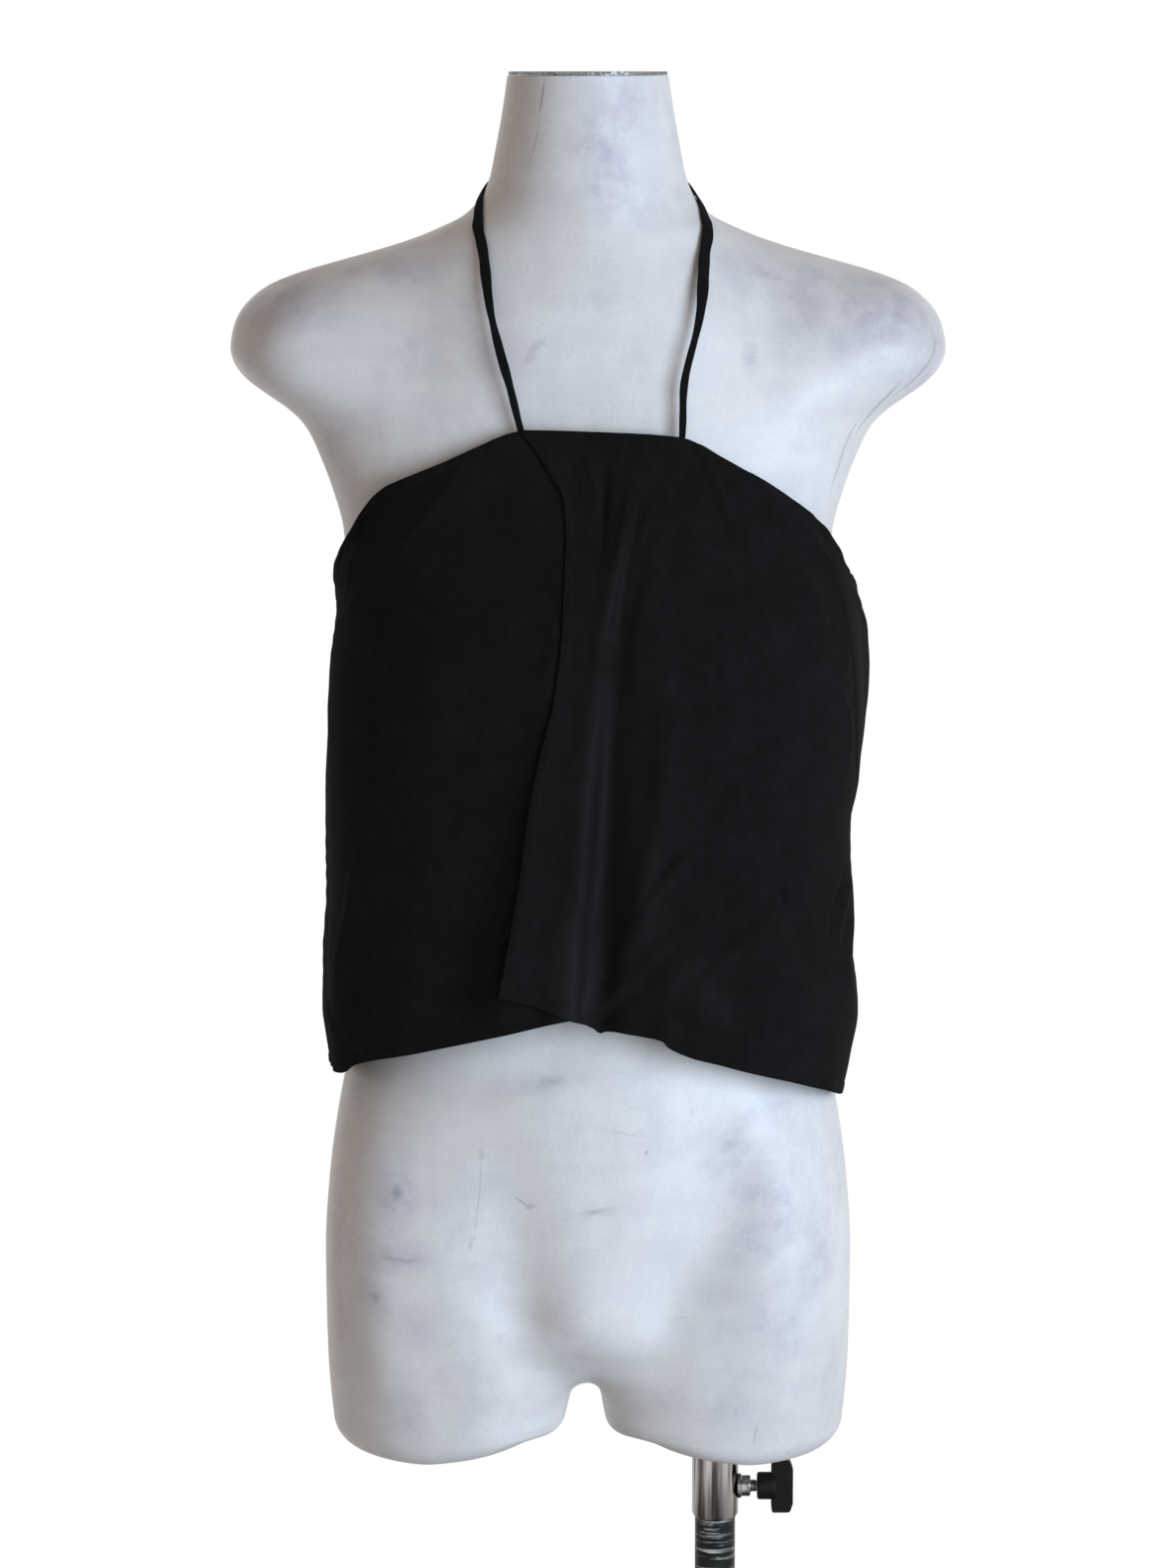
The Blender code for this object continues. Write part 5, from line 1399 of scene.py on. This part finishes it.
SCUFF_AND_CREASE_SHADE_GREY = (0.21, 0.20, 0.20)
MARK_DEPTH = 14.0
# Each kind of mark: how far noise moves its edges, in metres, the noise's scale, and how soft the edges are.
STAIN_AND_SHADE_EDGES = (0.030, 40.0, 0.85)
SMUDGE_EDGES = (0.006, 150.0, 0.65)
SCRATCH_AND_CREASE_SHADE_EDGES = (0.0022, 90.0, 0.45)
POLISHED_EDGES = (0.004, 60.0, 0.30)
GRIME = 0.16  # most of the stain's colour that the paint's own grain takes
FAINT_STAIN = 0.22  # strength of the broad stains that lie everywhere
WORN_ROUGHNESS = 0.12


def mark_shape(finish, place, mark, softness):
    """How much of a mark lies at each point: full inside it, down to 0 at its edge."""
    angle, height = np.array(float(mark.angle)), np.array(float(mark.height))
    centre = form_point(angle, height) * MM
    normal = Vector(form_normal(angle, height))
    lean = math.radians(mark.lean)
    around = Vector((0, 0, 1)).cross(normal).normalized()
    along = (normal.cross(around) * math.cos(lean) + around * math.sin(lean)).normalized()
    turned = Matrix((along, normal.cross(along), normal)).transposed().to_euler()
    return finish.spot(place, tuple(centre), tuple(turned),
                       (mark.length * MM, mark.width * MM, MARK_DEPTH * MM),
                       (1.0 + softness, 1.0 - softness), mark.strength)


def marked(finish, marks, shift, scale, softness):
    """All marks of one kind together, their edges broken up by noise."""
    wander = finish.add("TexNoise", {"Vector": finish.place, "Scale": scale, "Detail": 3.0})
    moved = finish.vector("SUBTRACT", {0: wander.outputs["Color"], 1: (0.5, 0.5, 0.5)})
    moved = finish.vector("SCALE", {0: moved, "Scale": shift})
    place = finish.vector("ADD", {0: finish.place, 1: moved})
    return finish.highest([mark_shape(finish, place, mark, softness) for mark in marks])


def form_material():
    finish = Finish("aged_form_paint", Specular_IOR_Level=0.42)
    colour = finish.mix(finish.patches(0.38, 0.66, 9.0, 3.0, 0.5), PAINT, PAINT_WARMER)
    brushed = finish.patches(0.30, 0.70, 70.0, 4.0, 0.7, stretch=(1.0, 1.0, 0.35))
    wiped = finish.patches(0.30, 0.70, 60.0, 4.0, 0.7, stretch=(0.3, 0.3, 1.0))
    grain = finish.patches(0.30, 0.72, 700.0, 2.0, 0.6)
    texture = finish.math("MULTIPLY", finish.math("ADD", finish.math("ADD", brushed, wiped), grain), 0.333)
    colour = finish.mix(finish.remap(texture, 0.30, 0.70, 0.0, GRIME), colour, STAIN_AND_SHADE_TONE)
    patchy = finish.patches(0.34, 0.66, 75.0, 5.0, 0.7, new=(0.45, 1.0))
    faint = finish.math("MULTIPLY", finish.patches(0.50, 0.70, 21.0, 4.0, 0.6), FAINT_STAIN)
    # part of this mask is painted shade on the right hip
    stain_and_shade = finish.math("MAXIMUM", marked(finish, STAINS_AND_SHADE, *STAIN_AND_SHADE_EDGES), faint)
    stain_and_shade = finish.math("MULTIPLY", stain_and_shade, patchy)
    smudge = finish.math("MULTIPLY", marked(finish, SMUDGES, *SMUDGE_EDGES), patchy)
    # this mask also paints the shade of the fine crease at the mould's edge as a dark line
    scratch_and_crease_shade = marked(finish, SCRATCHES_AND_CREASE_SHADE, *SCRATCH_AND_CREASE_SHADE_EDGES)
    for share, tone in ((stain_and_shade, STAIN_AND_SHADE_TONE), (smudge, SMUDGE), (scratch_and_crease_shade, SCUFF_AND_CREASE_SHADE_GREY)):
        colour = finish.mix(share, colour, tone)
    # rougher where marked, also where shade is painted
    worn = finish.math("ADD", stain_and_shade, finish.math("ADD", smudge, scratch_and_crease_shade))
    polished = marked(finish, POLISHED, *POLISHED_EDGES)
    normal = finish.bump(finish.noise(26.0, 3.0, 0.5), 0.0009, 0.35)
    normal = finish.bump(finish.noise(380.0, 3.0, 0.6), 0.00010, 0.30, below=normal)
    rough = finish.math("ADD", finish.patches(0.3, 0.7, 16.0, 4.0, 0.6, new=(0.34, 0.44)),
                        finish.math("MULTIPLY", worn, WORN_ROUGHNESS))
    return finish.set(Base_Color=colour, Normal=normal, Roughness=finish.math("SUBTRACT", rough, polished))


# Metals, the chrome with painted reflection bands: two colours, roughness, stretch and scale of the grain,
# how sharply it changes, and its depth.
METALS = table(
    "name colour other roughness stretch scale spread bump",
    # the chrome's sharp upright streaks of light and dark colour are painted reflection bands
    ("worn_chrome", (0.48, 0.465, 0.445), (0.075, 0.066, 0.058), 0.14, (1.0, 1.0, 0.04), 150.0, 0.11,
     0.00003),
    ("dull_steel", (0.42, 0.41, 0.40), (0.30, 0.29, 0.28), 0.34, (1.0, 1.0, 1.0), 500.0, 0.2, 0.00004),
    ("brushed_neck_plate", (0.28, 0.28, 0.28), (0.17, 0.17, 0.17), 0.60, (1.0, 0.05, 1.0), 600.0, 0.2,
     0.00003),
)
POLE_PAINTS = ((0.007, 0.0075, 0.007), (0.014, 0.015, 0.0135))
POLE_SCORED = (0.56, 0.55, 0.52)
PLASTICS = ((0.0085, 0.0085, 0.0085), (0.018, 0.018, 0.018))
ENAMELS = ((0.013, 0.013, 0.014), (0.034, 0.033, 0.032))


def metal_material(metal):
    finish = Finish(metal.name, Metallic=1.0)
    grain = finish.patches(0.5 - metal.spread, 0.5 + metal.spread, metal.scale, 3.0, 0.6,
                           stretch=metal.stretch)
    return finish.set(
        Base_Color=finish.mix(grain, metal.colour, metal.other),
        Roughness=finish.remap(grain, 0.0, 1.0, metal.roughness * 0.7, metal.roughness * 1.3),
        Normal=finish.bump(grain, metal.bump, 0.35))


def pole_material():
    """Black paint, polished and scored by the clamp."""
    finish = Finish("scratched_black_paint", Specular_IOR_Level=0.11)
    rings = finish.noise(140.0, 5.0, 0.75, stretch=(0.16, 0.16, 3.2), distortion=0.35)
    scored = finish.math("MULTIPLY", finish.remap(rings, 0.54, 0.60),
                         finish.patches(0.40, 0.60, 26.0, 2.0, 0.5, stretch=(1.0, 1.0, 0.8)))
    colour = finish.mix(finish.patches(0.35, 0.7, 60.0, 3.0, 0.5), *POLE_PAINTS)
    return finish.set(Base_Color=finish.mix(scored, colour, POLE_SCORED),
                      Roughness=finish.remap(scored, 0.0, 1.0, 0.34, 0.42),
                      Normal=finish.bump(rings, 0.0002, 0.3))


def plastic_material():
    finish = Finish("black_moulded_plastic", Specular_IOR_Level=0.09)
    worn = finish.patches(0.55, 0.72, 160.0, 3.0, 0.6)
    return finish.set(Base_Color=finish.mix(worn, *PLASTICS),
                      Roughness=finish.remap(worn, 0.0, 1.0, 0.42, 0.55),
                      Normal=finish.bump(finish.noise(900.0, 2.0, 0.5), 0.00008, 0.4))


def enamel_material():
    finish = Finish("black_plate_enamel", Specular_IOR_Level=0.5)
    dust = finish.patches(0.46, 0.72, 45.0, 5.0, 0.65)
    return finish.set(Base_Color=finish.mix(dust, *ENAMELS),
                      Roughness=finish.remap(dust, 0.0, 1.0, 0.36, 0.58),
                      Normal=finish.bump(finish.noise(500.0, 2.0, 0.5), 0.0001, 0.3))


# ---- Room ----
FLOOR_SIZE = 30.0
FLOOR_COLOURS = ((0.80, 0.80, 0.80), (0.84, 0.84, 0.84))
SHADOW_REACH = (0.30, 0.72)  # the floor's own shading fades to plain white between these
WORLD_TONE = (0.275, 0.207, 0.166)
WHITE = (1.0, 1.0, 1.0)

# The one soft lamp, a window near the viewer's right. Azimuth 0 is in front, and 90 is towards +X.
LAMP_WATTS = 55.0
LAMP_COLOUR = (0.69, 0.835, 1.0)
LAMP_SIZE = (1.3, 1.6)
LAMP_AZIMUTH = 38.0
LAMP_ELEVATION = 6.0
LAMP_DISTANCE = 2.4
LAMP_AIM = (FORM_X, 0.0, 0.80)


def white_for_seen_rays(nodes, plain, output, share=None):
    """Plain white where the camera, a reflection or a see-through surface looks; the plain shader else."""
    path = nodes.add("LightPath").outputs
    seen = path["Is Camera Ray"]
    for name in ("Is Glossy Ray", "Is Transmission Ray"):
        seen = nodes.math("MAXIMUM", seen, path[name])
    if share:
        seen = nodes.math("MULTIPLY", seen, share)
    white = nodes.add("Emission" if share else "Background", {"Color": WHITE, "Strength": 1.0})
    surface = nodes.add("MixShader", {0: seen, 1: plain, 2: white.outputs[0]}).outputs[0]
    nodes.feed(nodes.tree.nodes[output].inputs["Surface"], surface)


def make_floor():
    finish = Finish("pale_floor", Specular_IOR_Level=0.2, Roughness=0.8)
    finish.set(Base_Color=finish.mix(finish.noise(3.0, 3.0, 0.5), *FLOOR_COLOURS))
    share = finish.remap(finish.vector("LENGTH", {0: finish.place}, "Value"), *SHADOW_REACH)
    white_for_seen_rays(finish, finish.shader.outputs[0], "Material Output", share)
    bm = bmesh.new()
    bmesh.ops.create_grid(bm, x_segments=2, y_segments=2, size=FLOOR_SIZE / 2)
    add_mesh("floor", bm, finish.material)


def make_world():
    world = bpy.data.worlds.new("room")
    world.use_nodes = True
    room = world.node_tree.nodes["Background"]
    room.inputs["Color"].default_value = (*WORLD_TONE, 1.0)
    room.inputs["Strength"].default_value = 1.0
    white_for_seen_rays(Nodes(world.node_tree), room.outputs[0], "World Output")
    bpy.context.scene.world = world


def make_lamp():
    data = bpy.data.lights.new("window_light", "AREA")
    data.shape = "RECTANGLE"
    data.size, data.size_y = LAMP_SIZE
    data.energy = LAMP_WATTS
    data.color = LAMP_COLOUR
    lamp = link(bpy.data.objects.new("window_light", data))
    around, up = math.radians(LAMP_AZIMUTH), math.radians(LAMP_ELEVATION)
    offset = Vector((math.sin(around) * math.cos(up), -math.cos(around) * math.cos(up), math.sin(up)))
    lamp.location = Vector(LAMP_AIM) + offset * LAMP_DISTANCE
    lamp.rotation_euler = (-offset).to_track_quat("-Z", "Y").to_euler()
    lamp.visible_camera = False


# ---- Build ----

def make_stand():
    chrome, steel, plate = METALS
    make_pole(pole_material())
    make_base(enamel_material())
    make_collar(metal_material(chrome))
    make_screw(metal_material(steel))
    make_knob(plastic_material())
    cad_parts["neck_cap"].material_slots[0].material = metal_material(plate)


def make_garment():
    cloth, thread = cloth_material(), thread_material()
    pieces = [make_panel(panel, cloth) for panel in PANELS]
    sewing, strap = make_stitches(thread), make_strap(cloth)


bpy.context.scene.view_settings.view_transform = "Standard"
make_world()
make_lamp()
make_floor()
make_form(form_material())
make_garment()
make_stand()
